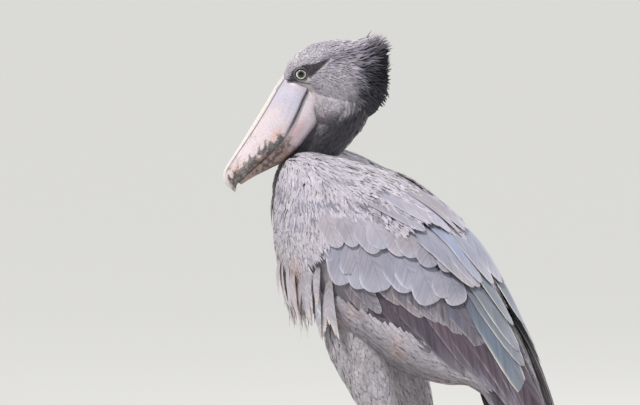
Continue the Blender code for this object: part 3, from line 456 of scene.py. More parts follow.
        # a few broad vanes share the sheet in even squares, so that each keeps its fine colours
        squares = math.ceil(math.sqrt(count))
        at = np.stack((np.arange(count) % squares, np.arange(count) // squares), -1)[:, None, None] / squares
        patch, unrolled = 0.94 / squares, at + 0.03 / squares
    else:
        unrolled = np.stack((unwrap[0] + (unwrap[1] - unwrap[0]) * np.mod(u / (len(HULL) - 1), 1),
                             np.mod(v / (2 * math.pi), 1)), -1)[:, None, None] * 0.99
    cell = unrolled + patch * np.stack(((c + 1) / 2 + 0 * t[..., None], t[..., None] + 0 * c), -1)
    corner = faces.reshape(-1, 3)[:, ::-1].ravel()
    for layer, places in (("OFBake", cell), ("vane", own)):
        places = np.broadcast_to(places, (count, rows, ring, 2)).reshape(-1, 2)
        mesh.uv_layers.new(name=layer).data.foreach_set("uv", places[corner].astype(np.float32).ravel())
    # the rims stay crisp and the faces smooth
    rim = np.zeros(count * rows * ring, bool).reshape(count, rows, ring)
    rim[:, :, 0] = rim[:, :, 2 * columns] = True
    rim = rim.ravel()
    ends_of = np.empty(len(mesh.edges) * 2, np.int32)
    mesh.edges.foreach_get("vertices", ends_of)
    crisp = mesh.attributes.new("sharp_edge", "BOOLEAN", "EDGE")
    crisp.data.foreach_set("value", rim[ends_of.reshape(-1, 2)].all(axis=1))
    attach(made, "root")
    return made


def node(tree, kind, **settings):
    made = tree.nodes.new(kind)
    for key, value in settings.items():
        if key in made.inputs:
            made.inputs[key].default_value = value
        else:
            setattr(made, key, value)
    return made


def plumage(name, streak=0.35, barb=0.25, rough=0.72, sheen=0.25, shaft=0.0):
    """Keratin barbs: the colour of the place, streaked along the barbs that slant back from the shaft."""
    made = bpy.data.materials.new(name)
    made.use_nodes = True
    tree = made.node_tree
    shader = tree.nodes["Principled BSDF"]
    link = tree.links.new
    tint = node(tree, "ShaderNodeAttribute", attribute_name="tint")
    place = node(tree, "ShaderNodeUVMap", uv_map="vane")
    parts = node(tree, "ShaderNodeSeparateXYZ")
    link(place.outputs["UV"], parts.inputs[0])
    away = node(tree, "ShaderNodeMath", operation="ABSOLUTE")
    link(parts.outputs["X"], away.inputs[0])
    slant = node(tree, "ShaderNodeMath", operation="MULTIPLY_ADD")
    slant.inputs[1].default_value = -1.1
    link(away.outputs[0], slant.inputs[0])
    link(parts.outputs["Y"], slant.inputs[2])
    lines = node(tree, "ShaderNodeCombineXYZ")
    link(slant.outputs[0], lines.inputs["Y"])
    near = node(tree, "ShaderNodeMath", operation="MULTIPLY")
    near.inputs[1].default_value = 0.10
    link(away.outputs[0], near.inputs[0])
    link(near.outputs[0], lines.inputs["X"])
    fine = node(tree, "ShaderNodeTexNoise", Scale=620.0, Detail=3.0, Roughness=0.6)
    link(lines.outputs[0], fine.inputs["Vector"])
    broad = node(tree, "ShaderNodeTexNoise", Scale=150.0, Detail=2.0, Roughness=0.5)
    link(lines.outputs[0], broad.inputs["Vector"])
    both = node(tree, "ShaderNodeMath", operation="ADD")
    link(fine.outputs["Fac"], both.inputs[0])
    link(broad.outputs["Fac"], both.inputs[1])
    band = node(tree, "ShaderNodeMapRange")
    band.inputs["From Min"].default_value, band.inputs["From Max"].default_value = 0.7, 1.3
    band.inputs["To Min"].default_value, band.inputs["To Max"].default_value = 1 - streak, 1 + streak * 0.6
    link(both.outputs[0], band.inputs["Value"])
    stem = node(tree, "ShaderNodeMapRange")
    for key, value in (("From Min", 0.0003), ("From Max", 0.0009), ("To Min", 1 - shaft), ("To Max", 1.0)):
        stem.inputs[key].default_value = value
    link(away.outputs[0], stem.inputs["Value"])
    gain = node(tree, "ShaderNodeMath", operation="MULTIPLY")
    link(band.outputs[0], gain.inputs[0])
    link(stem.outputs[0], gain.inputs[1])
    toned = node(tree, "ShaderNodeVectorMath", operation="SCALE")
    link(tint.outputs["Color"], toned.inputs[0])
    link(gain.outputs[0], toned.inputs["Scale"])
    link(toned.outputs[0], shader.inputs["Base Color"])
    bump = node(tree, "ShaderNodeBump", Strength=barb, Distance=0.0006)
    link(both.outputs[0], bump.inputs["Height"])
    link(bump.outputs[0], shader.inputs["Normal"])
    shader.inputs["Roughness"].default_value = rough
    shader.inputs["Sheen Weight"].default_value = sheen
    shader.inputs["Sheen Roughness"].default_value = 0.5
    shader.inputs["Specular IOR Level"].default_value = 0.35
    return made


# TRUNK FEATHERS
# Soft contour feathers over back, breast, flanks and belly. Their loose barbs part into narrow clumps, and each
# clump is a vane here. On the back they run to the tail; on breast and flanks they hang.
def cloud(places, size, seed=0):
    """Soft random patches from 0 to 1: random values at the corners of cubes, blended smoothly between them."""
    at = np.asarray(places) / size + seed * 17.31
    low = np.floor(at).astype(np.int64)
    t = at - low
    t = t * t * (3 - 2 * t)
    total = 0
    for corner in range(8):
        bit = np.array((corner & 1, corner >> 1 & 1, corner >> 2 & 1))
        key = np.mod((low + bit) @ np.array((7919, 104729, 1299709)), 99991)
        value = np.mod(np.sin(key * 12.9898) * 43758.5453, 1)
        total = total + value * np.where(bit, t, 1 - t).prod(-1)
    return total


def blend(tone, other, share):
    """Moves a colour towards another by a share at each place."""
    return tone + (np.asarray(other) - tone) * np.asarray(share)[..., None]


def mottled(base, count, draw, light=0.10, hue=0.03):
    """One colour for each feather, a little lighter or darker and warmer or cooler than the base."""
    bright = np.exp(draw.normal(0, light, (count, 1)))
    warm = draw.normal(0, hue, (count, 1)) * np.array((1.0, 0.0, -1.0))
    return np.clip(np.asarray(base) * bright * (1 + warm), 0.002, 0.9)


def clumps(name, bare, u, v, tone, length, width, way, look, slot, seed, **form):
    """A coat of narrow soft vanes, each a little off its neighbours in length, colour and lie."""
    draw = np.random.default_rng(seed)
    count = len(u)
    tone = mottled(tone, count, draw, form.pop("light", 0.07), 0.02)
    stray = form.pop("stray", 0.10)
    # the root tone is the feather's tone times deep, so darker: painted shade where the roots lie under the feathers
    # over them
    made = feathers(
        name, bare, u, v, length * draw.uniform(0.8, 1.2, count), width * draw.uniform(0.75, 1.25, count),
        (tone * form.pop("deep", 0.72), tone, np.minimum(tone * 1.08, 0.95)), way=way + draw.normal(0, stray, (count, 3)),
        rows=form.pop("rows", 5), blunt=2.2, point=form.pop("point", 0.55), ragged=0.06,
        sway=draw.normal(0, form.pop("bend", 0.05), count) * length, roll=draw.normal(0, 0.0004, count),
        tip=form.pop("high", 0.0012) + draw.uniform(0, form.pop("rise", 0.0014), count), camber=0.0004, seed=seed, **form)
    made.data.materials.append(look)
    return made


def side_angle(phi):
    """The angle of a place as seen on its own side, from -90 below over 0 at the side to 90 on the back."""
    return np.arcsin(np.clip(np.sin(phi), -1, 1))


def under_wing(s, phi):
    """How far inside the folded wing's edges a place lies, in radians, less than 0 outside."""
    side = side_angle(phi)
    return np.minimum(side - smooth(WING_LOW, s)[..., 0], smooth(WING_HIGH, s)[..., 0] - side)


def body_lie(s, phi):
    """The lie of the plumage as a way through space: down over the breast, turning back along the body."""
    back = np.maximum(step(1.5, 4.5, s) * 0.8, step(0.3, 1.2, side_angle(phi)) * step(0.2, 1.2, s))
    return np.stack((0 * s, 0.06 + 0.94 * back, -(1.15 - 0.45 * back)), -1)


def body_tone(places, s, phi):
    """Ash grey over the back, warmer and pinker towards the front and below, darker on the underside towards the rear
    as painted shade, in soft uneven patches.
    """
    side = side_angle(phi)
    tone = colour(194, 188, 198) + 0 * places
    tone = blend(tone, colour(180, 168, 171), step(0.25, -0.6, side) * step(4.2, 1.6, s))
    # painted shade: darker on the underside, further back along the body
    tone = blend(tone, colour(130, 123, 129), step(0.0, -0.9, side) * step(2.2, 5.0, s))
    streaks = places * (1, 1, 0.45)
    patches = 0.55 * cloud(streaks, 0.018, 21) + 0.45 * cloud(streaks, 0.007, 22)
    tone = tone * (0.80 + 0.40 * patches)[..., None]
    return blend(tone, colour(190, 160, 152), 0.5 * step(0.58, 0.80, cloud(streaks, 0.030, 23)) * step(0.5, -0.5, side))


# each coat has broad soft vanes below, and over them the narrow clumps into which their loose edges part
VANES = {"along": 0.0125, "aside": 0.0085, "wide": 0.0150, "high": -0.0010, "rise": 0.0009, "point": 0.25, "rows": 5}
BARBS = {"along": 0.0084, "aside": 0.0037, "wide": 0.0068, "high": -0.0003, "rise": 0.0012, "point": 0.30, "rows": 5}


def lies_flat(bare, u, v, way, length):
    """Whether a feather laid here keeps to the surface: its far end is less than 1.55 lengths from its root.
    Where a surface is pinched, as inside a bend of the neck, the steps along it grow without bound."""
    pu, pv, out = tangents(bare, u, v)
    way = way - out * (way * out).sum(-1, keepdims=True)
    way = way / np.maximum(np.linalg.norm(way, axis=-1, keepdims=True), 1e-9)
    go_u, go_v = in_surface(pu, pv, way)
    far = np.linalg.norm(bare(u + 1.2 * go_u * length, v + 1.2 * go_v * length) - bare(u, v), axis=-1)
    return (far < 1.55 * length) & (np.abs(go_v * length) < 2.5)


def coat(name, bare, u_ends, v_ends, worn, tone, length, lie, look, slot, seed, finer=1.0, **form):
    """Both layers of a coat. worn says where it grows, and tone and lie give its colour and way at each place."""
    for layer, shape in enumerate((VANES, BARBS)):
        size = finer if layer else 1.0
        u, v = spread(bare, u_ends, v_ends, shape["along"] * size, shape["aside"] * size, seed + layer)
        keep = worn(u, v) & lies_flat(bare, u, v, lie(u, v), length(u, v))
        u, v = u[keep], v[keep]
        own = {key: form[key] for key in form if key not in ("lifted", "narrow")}
        high = shape["high"] + (form["lifted"](u, v) if "lifted" in form else 0)
        clumps(f"{name}_{'barbs' if layer else 'vanes'}", bare, u, v, tone(bare(u, v), u, v), length(u, v),
               shape["wide"] * size * form.get("narrow", 1.0), lie(u, v), look, slot, seed + 2 + layer, high=high,
               rise=shape["rise"], point=shape["point"], rows=shape["rows"], deep=0.9, thick=0.0002, **own)


soft_plumage = plumage("contour_feathers", streak=0.30, barb=0.5, rough=0.8, sheen=0.3)
for part, ends in enumerate(((0.22, 2.6), (2.6, 5.2), (5.2, 8.8))):
    coat(f"trunk_{part}", trunk, ends, (0, 2 * math.pi), lambda s, phi: (under_wing(s, phi) < math.radians(6)) | (s < 1.2),
         body_tone, lambda s, phi: 0.036, body_lie, soft_plumage, "body_feathers", 14 + 10 * part,
         finer=(1.0, 1.05, 1.3)[part], sink=-0.0095,
         lifted=lambda s, phi: 0.0055 * step(2.8, 4.2, s) * step(8.0, 6.6, s) * step(1.10, 1.35, side_angle(phi)))


# BREAST PLUMES
# Long narrow pointed plumes that hang from the lower neck and the front of the breast, loose at their ends.
def hung(name, s, phi, length, width, loose, seed, look):
    """Hanging plumes with pale loose ends, each leaving the body a little before its tip."""
    draw = np.random.default_rng(seed)
    count = len(s)
    tone = mottled(body_tone(hull(s, phi), s, phi), count, draw, light=0.12)
    pale = mottled(colour(214, 205, 206), count, draw, light=0.06)
    # the root tone, tone * 0.6, is painted shade where the plumes' roots lie under the ones over them
    made = feathers(
        name, hull, s, phi, length * draw.uniform(0.7, 1.25, count), width * draw.uniform(0.7, 1.3, count),
        (tone * 0.6, tone, pale), way=(0.0, 0.03, -1.0), free=np.array((0, 0.03, -1.0)) + draw.normal(0, 0.07, (count, 3)),
        loose=loose, rows=11, columns=2, blunt=2.0, point=0.85, sink=-0.010, tip=draw.uniform(0.001, 0.005, count),
        sway=draw.normal(0, 0.007, count), curl=draw.uniform(-0.002, 0.006, count), roll=draw.normal(0, 0.0012, count),
        camber=0.0012, ragged=0.03, seed=seed)
    made.data.materials.append(look)


plume_barbs = plumage("plume_barbs", streak=0.34, barb=0.5, rough=0.75, sheen=0.3)
s, phi = spread(hull, (0.4, 3.2), (-math.pi * 0.86, -math.pi * 0.14), 0.022, 0.0085, 21)
# those near the keel hang straight, so that the two sides don't cross there
hung("breast_plumes", s, phi, 0.080, 0.0095, 0.25 + 0.65 * step(0.75, 0.25, np.abs(phi + math.pi / 2)), 23, plume_barbs)


# WINGS
# A folded wing is shingled in tiers: small soft feathers over the shoulder, then the broad greater coverts,
# the scapulars and tertials sweeping back over them, and the flight feathers beneath.
def on_side(phi, side):
    """Mirrors a place on the left wing to the right one."""
    return phi if side > 0 else math.pi - phi


covert_barbs = plumage("covert_barbs", streak=0.24, barb=0.30, rough=0.55, sheen=0.2, shaft=0.22)
dark_barbs = plumage("flight_barbs", streak=0.55, barb=0.40, rough=0.6, sheen=0.2, shaft=0.3)
small_barbs = plumage("shoulder_barbs", streak=0.28, barb=0.5, rough=0.75, sheen=0.3)


def shoulder_lie(s, phi):
    back = np.maximum(step(2.4, 4.6, s) * 0.55, step(0.35, 1.1, side_angle(phi)) * 0.9)
    return np.stack((0 * s, 0.08 + 0.92 * back, -(1 - 0.45 * back)), -1)


def shoulder_tone(places, s, phi):
    """The trunk's grey, paler over the dome, with a few dark wisps in the middle of it."""
    tone = blend(body_tone(places, s, phi), colour(194, 187, 199), 0.6 * step(-0.3, 0.3, side_angle(phi)))
    wisp = step(0.56, 0.78, cloud(places * (1, 1, 2.6), 0.0130, 24))
    middle = 0.35 + 0.65 * step(0.060, 0.02, np.abs(places[:, 2] - stand[2] - 0.765))
    return blend(tone, colour(118, 114, 130), 0.75 * wisp * middle)


def over_scapulars(s, phi):
    """The soft feathers of the mantle lie higher, over the roots of the scapulars."""
    return 0.0010 * step(2.5, 5.0, s) + 0.0085 * step(3.7, 4.4, s) * step(0.62, 0.95, side_angle(phi))


def shoulder_feathers(side, label):
    """The soft dome of the shoulder and mantle, its streaks turning from backward on top to downward in front."""
    ring = (-1.25, 1.45) if side > 0 else (math.pi - 1.45, math.pi + 1.25)
    worn = lambda s, phi: (under_wing(s, phi) > math.radians(-3)) & (s < 3.9 + 1.5 * step(-0.2, 0.9, side_angle(phi)))
    for part, (ends, finer) in enumerate((((0.5, 2.55), 0.66), ((2.4, 4.05), 0.76), ((3.9, 6.2), 0.85))):
        coat(f"shoulder_{part}_{label}", hull, ends, ring, worn, shoulder_tone,
             lambda s, phi: 0.029 + 0.008 * step(1.0, 5.0, s), shoulder_lie, small_barbs, "body_feathers", 33 + 10 * part,
             finer=finer, sink=-0.0105, lifted=over_scapulars, stray=0.07, bend=0.05)


def tier(count, root, tip, width, lift, tints, draw, wander=0.10):
    """One row of overlapping vanes between two ends of the row, each end given as (station, degrees) pairs."""
    share = np.linspace(0, 1, count)
    (s0, p0), (s1, p1) = root
    (s2, p2), (s3, p3) = tip
    shake = lambda size: draw.normal(0, size, count)
    return {
        "u": s0 + (s1 - s0) * share + shake(wander), "v": np.radians(p0 + (p1 - p0) * share + shake(1.2)),
        "end_u": s2 + (s3 - s2) * share + shake(wander), "end_v": np.radians(p2 + (p3 - p2) * share + shake(2.0)),
        "width": width * draw.uniform(0.82, 1.14, count), "lift": lift + shake(0.0003),
        "tints": [mottled(tint, count, draw, light=0.08, hue=0.03) for tint in tints],
    }


def broad_vanes(name, row, side, look, rise, seed, blunt=3.2, rim=1.25, cream=None):
    """A tier as whole broad vanes with fine pale rims, each a hair higher than the one before."""
    draw = np.random.default_rng(seed)
    order = np.arange(len(row["u"]))
    made = feathers(
        name, hull, row["u"], on_side(row["v"], side), 0.10, row["width"], row["tints"],
        ends=(row["end_u"], on_side(row["end_v"], side)), rows=24, columns=6, root=0.5, blunt=blunt, sink=-0.010,
        tip=row["lift"] + rise * order, roll=-0.0016 * side * draw.uniform(0.6, 1.4, len(order)), camber=0.0016,
        sway=draw.normal(0, 0.0025, len(order)), thick=0.00045, ragged=0.012, seed=seed,
        edge=np.minimum(np.array(row["tints"][2]) * rim, 0.9) if cream is None else cream, patch=None)
    made.data.materials.append(look)


def wing_vanes(side, label):
    draw = np.random.default_rng(41)
    blue, mauve, pale = colour(150, 153, 172), colour(168, 162, 174), colour(180, 177, 190)
    slate, plum = colour(120, 114, 126), colour(92, 80, 92)
    # in each tier the first colour, at the root, is the darkest: painted shade where the roots lie under the tier over
    # them
    broad_vanes("flight_feathers_" + label, tier(11, ((5.0, -6), (7.8, 58)), ((7.1, -15), (11.5, 40)), 0.036, -0.0046,
                (plum * 0.6, plum * 1.15, slate * 1.2), draw, 0.14), side, dark_barbs, 0.0010, 50, 4.0, 1.35)
    broad_vanes("flight_coverts_" + label, tier(9, ((4.6, -2), (6.6, 40)), ((5.9, -12), (8.6, 34)), 0.034, -0.0030,
                (plum * 0.7, slate, colour(158, 150, 158)), draw, 0.14), side, dark_barbs, 0.0004, 51, 3.0, 1.25)
    broad_vanes("greater_coverts_" + label, tier(8, ((4.1, 10), (6.6, 53)), ((5.35, -9), (7.45, 38)), 0.052, 0.0006,
                (blue * 0.55, 0.5 * (blue + mauve), pale * 0.98), draw), side, covert_barbs, 0.0003, 52, 9.0, 1.35)
    broad_vanes("median_coverts_" + label, tier(8, ((3.6, 22), (6.1, 63)), ((4.6, 3), (6.8, 50)), 0.044, 0.0028,
                (blue * 0.6, mauve * 0.94, pale * 0.96), draw), side, covert_barbs, 0.0003, 53, 4.5, 1.25)
    broad_vanes("tertials_" + label, tier(4, ((6.9, 56), (6.2, 78)), ((9.5, 48), (8.3, 78)), 0.046, 0.0050,
                (blue * 0.45, colour(124, 132, 146), colour(154, 157, 170)), draw), side, covert_barbs, 0.0008, 60, 3.2, cream=colour(228, 222, 210))
    broad_vanes("long_scapulars_" + label, tier(4, ((5.1, 56), (5.5, 84)), ((7.15, 60), (7.3, 86)), 0.050, 0.0078,
                (blue * 0.5, blue * 1.05, pale), draw), side, covert_barbs, 0.0006, 61, 2.8, cream=colour(216, 208, 206))
    broad_vanes("scapulars_" + label, tier(5, ((4.0, 50), (4.4, 86)), ((5.75, 58), (6.1, 89)), 0.044, 0.0092,
                (mauve * 0.55, mauve * 0.98, pale), draw), side, covert_barbs, 0.0003, 62, 2.6, 1.2)


def front_plumes(side, label):
    """Plumes hanging free from the lower front edge of the wing."""
    draw = np.random.default_rng(71)
    count = 58
    s = draw.uniform(1.0, 4.9, count)
    phi = smooth(WING_LOW, s)[:, 0] + draw.uniform(0.02, 0.42, count)
    hung("wing_plumes_" + label, s, on_side(phi, side), 0.104, 0.0205, 0.60, 72, plume_barbs)


def wing_edge_coat(side, label):
    """Soft coverts wrapped over the wing's upper edge behind the back: v = -1 lies on the outer face, 0 on the
    edge and 1 on the inner face, where the depth let in from the hull grows from 11 mm to the wing's own."""
    def wing_edge(s, v):
        phi = math.radians(91) - math.radians(30) * np.sqrt(v * v + 0.01)
        deep = smooth(WING_DEEP, s)[..., 0] + 0.003 + 0.003 * step(7.5, 9.0, s)
        return raised(hull, s, on_side(phi, side), -0.0105 - (deep - 0.0105) * step(-0.2, 0.2, v * side))

    coat("wing_edge_" + label, wing_edge, (6.2, 9.85), (-1.1, 1.0), lambda s, v: s > 0,
         lambda places, s, v: mottled(colour(146, 141, 149), len(s), np.random.default_rng(77)),
         lambda s, v: 0.036, lambda s, v: np.array((0, 0.75, -0.66)) + 0 * s[:, None], soft_plumage, "body_feathers", 78,
         finer=1.3, sink=-0.0025)


for side, label in ((1, "left"), (-1, "right")):
    shoulder_feathers(side, label)
    wing_vanes(side, label)
    front_plumes(side, label)
    wing_edge_coat(side, label)


# THIGHS
# The thigh and most of the shin wear short grey feathers that lie down the leg.
def thigh_tone(places, t, turn):
    return colour(172, 166, 172) * (0.8 + 0.4 * cloud(places * (1, 1, 0.5), 0.012, 25))[:, None]


leg_way = np.array((0.0, ANKLE[0] - KNEE[0], ANKLE[1] - KNEE[1])) * 3
for side, label, bare in ((1, "left", thigh_left), (-1, "right", thigh_right)):
    coat("thigh_" + label, bare, (0.0, 6.55), (0, 2 * math.pi), lambda t, turn: t < 9, thigh_tone,
         lambda t, turn: 0.018 + 0.014 * step(7.0, 3.5, t), lambda t, turn: leg_way + 0 * t[:, None], soft_plumage,
         "body_feathers", 83, finer=1.3, narrow=0.85, sink=-0.006)


# HEAD
# A large rounded head in fine short feathers, velvety on the forehead, woolly on the cheek, dark over the nape, with a
# shaggy tuft of longer ones at the back. The dark of the nape and tuft is partly the feathers' own and partly painted
# shade, and the lower head and throat are painted darker as shade. The lores are dark, and a dark stripe runs back from
# the eye, partly dark feathers and partly painted shade under the brow; the creases of the bare face are painted dark
# as shade.
# the dark stripe round and behind the eye: partly dark feathers, partly painted shade under the brow
EYE_STRIPE_AND_BROW_SHADE = ((0.0284, -0.0119), (0.0173, 0.0075), (-0.0029, 0.0170), (-0.0194, 0.0190), (-0.0378, 0.0262), (-0.0488, 0.0290),
          (-0.0378, 0.0165), (-0.0266, 0.0060), (-0.0139, -0.0045), (-0.0010, -0.0119), (0.0211, -0.0137))
BARE = ((0.0230, -0.0140), (-0.0010, -0.0125), (-0.0120, -0.0125), (-0.0185, -0.0190), (-0.0235, -0.0300), (-0.0262, -0.0420),
        (-0.0235, -0.0620), (-0.0175, -0.0800), (-0.0120, -0.0960), (-0.0040, -0.0960), (0.0000, -0.0600), (0.0100, -0.0300),
        (0.0260, -0.0200))


def along_the(bare, t, turn):
    """The way along a tube's own length."""
    way = tangents(bare, t, turn)[0]
    return way / np.linalg.norm(way, axis=-1, keepdims=True)


def line_gap(x, y, line):
    """Distance from places in a plane to a broken line."""
    line, best = np.asarray(line, float), np.full(np.shape(x), 9.0)
    for one, two in zip(line[:-1], line[1:]):
        run = two - one
        t = np.clip(((x - one[0]) * run[0] + (y - one[1]) * run[1]) / (run @ run), 0, 1)
        best = np.minimum(np.hypot(x - one[0] - t * run[0], y - one[1] - t * run[1]), best)
    return best


def inside(x, y, shape):
    """Signed distance to a closed outline, more than 0 inside: an edge crossed an odd number of times encloses."""
    shape = np.asarray(shape, float)
    odd = np.zeros(np.shape(x), bool)
    for (x0, y0), (x1, y1) in zip(shape, np.roll(shape, -1, 0)):
        odd ^= ((y0 > y) != (y1 > y)) & (x < (x1 - x0) * (y - y0) / (y1 - y0 + 1e-12) + x0)
    gap = line_gap(x, y, np.vstack((shape, shape[:1])))
    return np.where(odd, gap, -gap)


def head_place(points):
    """Steps forward, left and up from the middle of the eyes."""
    step_in = points - stand - EYE_MIDDLE
    return step_in @ forward, step_in @ leftward, step_in @ upward


def head_colour(points):
    """The markings of the head, the same for skin and feathers, with painted shade over the lower head and throat,
    partly painted shade over the nape, the tuft and under the brow, and painted shade in the creases.
    """
    ahead, left, up = head_place(points)
    uneven = 0.012 * (cloud(points, 0.011, 27) - 0.5)
    tone = colour(184, 177, 188) + 0 * points
    tone = blend(tone, colour(196, 190, 200), step(0.010, 0.036, up + 0.10 * ahead))
    tone = blend(tone, colour(220, 213, 221), step(-0.02, 0.020, ahead) * step(0.0, 0.02, up))
    tone = blend(tone, colour(180, 172, 179), step(-0.020, -0.040, up) * step(-0.06, -0.03, ahead))
    # painted shade: the lower head darker downwards
    tone = blend(tone, colour(120, 114, 120), 0.85 * step(-0.046, -0.090, up + uneven))
    dusky = line_gap(ahead + uneven, up, ((-0.044, 0.027), (-0.070, 0.036), (-0.110, 0.036)))
    tone = blend(tone, colour(126, 122, 136), 0.75 * step(0.014, 0.004, dusky))
    # the back of the head and the tuft are darker: partly the feathers' own colour, partly painted shade
    tone = blend(tone, colour(86, 84, 96), 0.9 * step(-0.076, -0.112, ahead + 2 * uneven) * step(0.050, 0.030, up + uneven))
    tone = blend(tone, colour(38, 37, 45), step(-0.102, -0.126, ahead + 2 * uneven) * step(0.042, 0.020, up + 2 * uneven))
    # painted shade: darker still low at the back of the head, towards the throat
    tone = blend(tone, colour(62, 60, 67), step(-0.088, -0.130, up + 0.70 * ahead + 1.5 * uneven))
    tone = tone * (0.80 + 0.40 * cloud(points * (1, 1, 1), 0.006, 26))[..., None]
    tone = blend(tone, colour(214, 206, 210), 0.7 * step(0.0034, 0.0010, line_gap(ahead, up, (
        (-0.0100, -0.0105), (-0.0139, -0.0070), (-0.0266, 0.0036), (-0.0378, 0.0140), (-0.0480, 0.0262)))))
    # dark stripe by the eye: partly dark feathers, partly painted shade under the brow
    tone = blend(tone, colour(50, 46, 52), 0.92 * step(-0.0012, 0.0020, inside(ahead, up, EYE_STRIPE_AND_BROW_SHADE)))
    tone = blend(tone, colour(212, 200, 200), 0.90 * step(-0.0010, 0.0012, inside(ahead, up, BARE)))
    # painted shade along the sunken creases of the bare face
    crease_shade = np.minimum(line_gap(ahead, up, ((0.0201, -0.0165), (0.0100, -0.0137), (-0.0065, -0.0156), (-0.0166, -0.0178))),
                         line_gap(ahead, up, ((-0.0020, -0.0300), (-0.0083, -0.0303), (-0.0040, -0.0420), (0.0000, -0.0560))))
    tone = blend(tone, colour(52, 42, 44), 0.85 * step(0.0016, 0.0004, crease_shade))
    return tone


fine_plumage = plumage("head_down", streak=0.22, barb=0.4, rough=0.85, sheen=0.12)
for part, (low_end, high_end, along, aside) in enumerate((
        (1.1, 3.4, 0.0022, 0.00145), (3.4, 4.8, 0.0024, 0.0016), (4.8, 6.4, 0.0028, 0.0020), (6.4, 8.7, 0.0030, 0.0022))):
    t, turn = spread(skull, (low_end, high_end), (0, 2 * math.pi), along, aside, 102 + part)
    ahead, left, up = head_place(skull(t, turn))
    bare_face = (np.hypot(ahead, up) < 0.0128) | (inside(ahead, up, BARE) > 0)
    t, turn = t[~bare_face], turn[~bare_face]
    spots = skull(t, turn)
    ahead, left, up = head_place(spots)
    rear = step(-0.030, -0.110, ahead)
    woolly = step(0.005, -0.030, up) * step(-0.02, -0.04, ahead)
    lie = along_the(skull, t, turn) + np.array((0, 0, -0.5)) * step(0.02, -0.02, up)[:, None]
    clumps(f"head_feathers_{part}", skull, t, turn, head_colour(spots), 0.0062 + 0.0070 * rear + 0.004 * woolly,
           1.25 * aside + 0.0004 * woolly, lie, fine_plumage, "head_feathers", 103 + part, rows=4, sink=-0.0022,
           thick=0.00014, high=0.0003 + 0.0011 * woolly, rise=0.0005 + 0.0011 * rear, light=0.05, stray=0.10, deep=0.9)

t, turn = spread(skull, (4.6, 8.75), (0, 2 * math.pi), 0.0046, 0.0033, 112)
rise = np.sin(turn)
keep = rise > -0.80
t, turn, rise = t[keep], turn[keep], rise[keep]
spots = skull(t, turn)
draw = np.random.default_rng(111)
crest = step(0.30, 0.90, rise) * step(4.6, 6.9, t)
rear = step(5.2, 8.0, t)
lock_way = (-forward + upward * (0.95 * rise - 0.36 + 0.22 * crest)[:, None] + leftward * (0.30 * np.cos(turn))[:, None])
# the tuft is made a little darker again (0.94): partly its own colour, partly painted shade
clumps("crest_feathers", skull, t, turn, head_colour(spots) * 0.94, 0.013 + 0.008 * rear + 0.021 * crest * step(8.3, 7.3, t), 0.0034 + 0.0014 * rear,
       lock_way, fine_plumage, "head_feathers", 113, rows=6, sink=-0.003, point=0.75, high=0.0010 + 0.0026 * rear,
       rise=0.0016 + 0.002 * rear, light=0.13, stray=0.13, bend=0.10, free=lock_way + draw.normal(0, 0.14, (len(t), 3)),
       loose=0.10 + 0.65 * np.maximum(step(5.8, 7.8, t), 1.25 * crest * step(5.0, 6.8, t)))


# NECK
# Drawn in behind the bill, clothed in short feathers that run down to the breast. Their dark charcoal is painted shade
# from the head and bill above, darkest a little below the head and paler towards the breast.
def neck_tone(places, t, turn):
    ahead, left, up = head_place(places)
    # painted shade under the head and bill: darkest a little below the head, paler towards the breast
    tone = blend(blend(colour(80, 78, 84) + 0 * places, colour(60, 60, 66), step(0.5, 2.2, t)), colour(124, 117, 124), step(3.4, 5.6, t))
    return blend(tone, head_colour(places), step(-0.135, -0.100, up) * step(0.0, -0.030, ahead))


coat("neck", neck, (0.0, 6.0), (0, 2 * math.pi), lambda t, turn: t < 9, neck_tone, lambda t, turn: 0.024,
     lambda t, turn: along_the(neck, t, turn), soft_plumage, "neck_feathers", 93, finer=1.05, sink=-0.005, light=0.10)

# longer plumes hang from the front of the neck over the hollow of the breast
t, turn = spread(neck, (4.7, 6.1), (0, 2 * math.pi), 0.0085, 0.0052, 97)
in_front = neck(t, turn)[:, 1] < -0.140
t, turn = t[in_front], turn[in_front]
draw = np.random.default_rng(98)
clumps("neck_plumes", neck, t, turn, blend(neck_tone(neck(t, turn), t, turn), colour(160, 152, 158), 0.6 * step(4.9, 6.0, t)),
       0.064 + 0 * t, 0.0095, np.array((0.0, 0.0, -1.0)) + np.zeros((len(t), 3)), soft_plumage, "neck_feathers", 99, rows=8,
       sink=-0.004, point=0.7, high=0.002, rise=0.004, deep=0.8,
       free=np.array((0, 0.04, -1)) + draw.normal(0, 0.06, (len(t), 3)), loose=0.85)


# TAIL
# Twelve blunt slate-dark tail feathers in a shallow fan, their roots under rows of soft coverts.
def tail_sheet(u, v):
    """A gently arched fan: u runs from root to end, and v is the place across it in half widths."""
    run = (TAIL_END - TAIL_ROOT) / np.linalg.norm(TAIL_END - TAIL_ROOT)
    over = np.array((0.0, -run[2], run[1]))
    reach = np.linalg.norm(TAIL_END - TAIL_ROOT)
    angle = np.radians(16.5) * v
    u, v = np.broadcast_arrays(u, v)
    ray = np.cos(angle)[..., None] * run + np.sin(angle)[..., None] * np.array((1.0, 0, 0))
    return stand + TAIL_ROOT + reach * u[..., None] * ray - 0.010 * (v ** 2)[..., None] * over


draw = np.random.default_rng(121)
place = (np.arange(12) - 5.5) / 5.5
slate = colour(74, 71, 80)
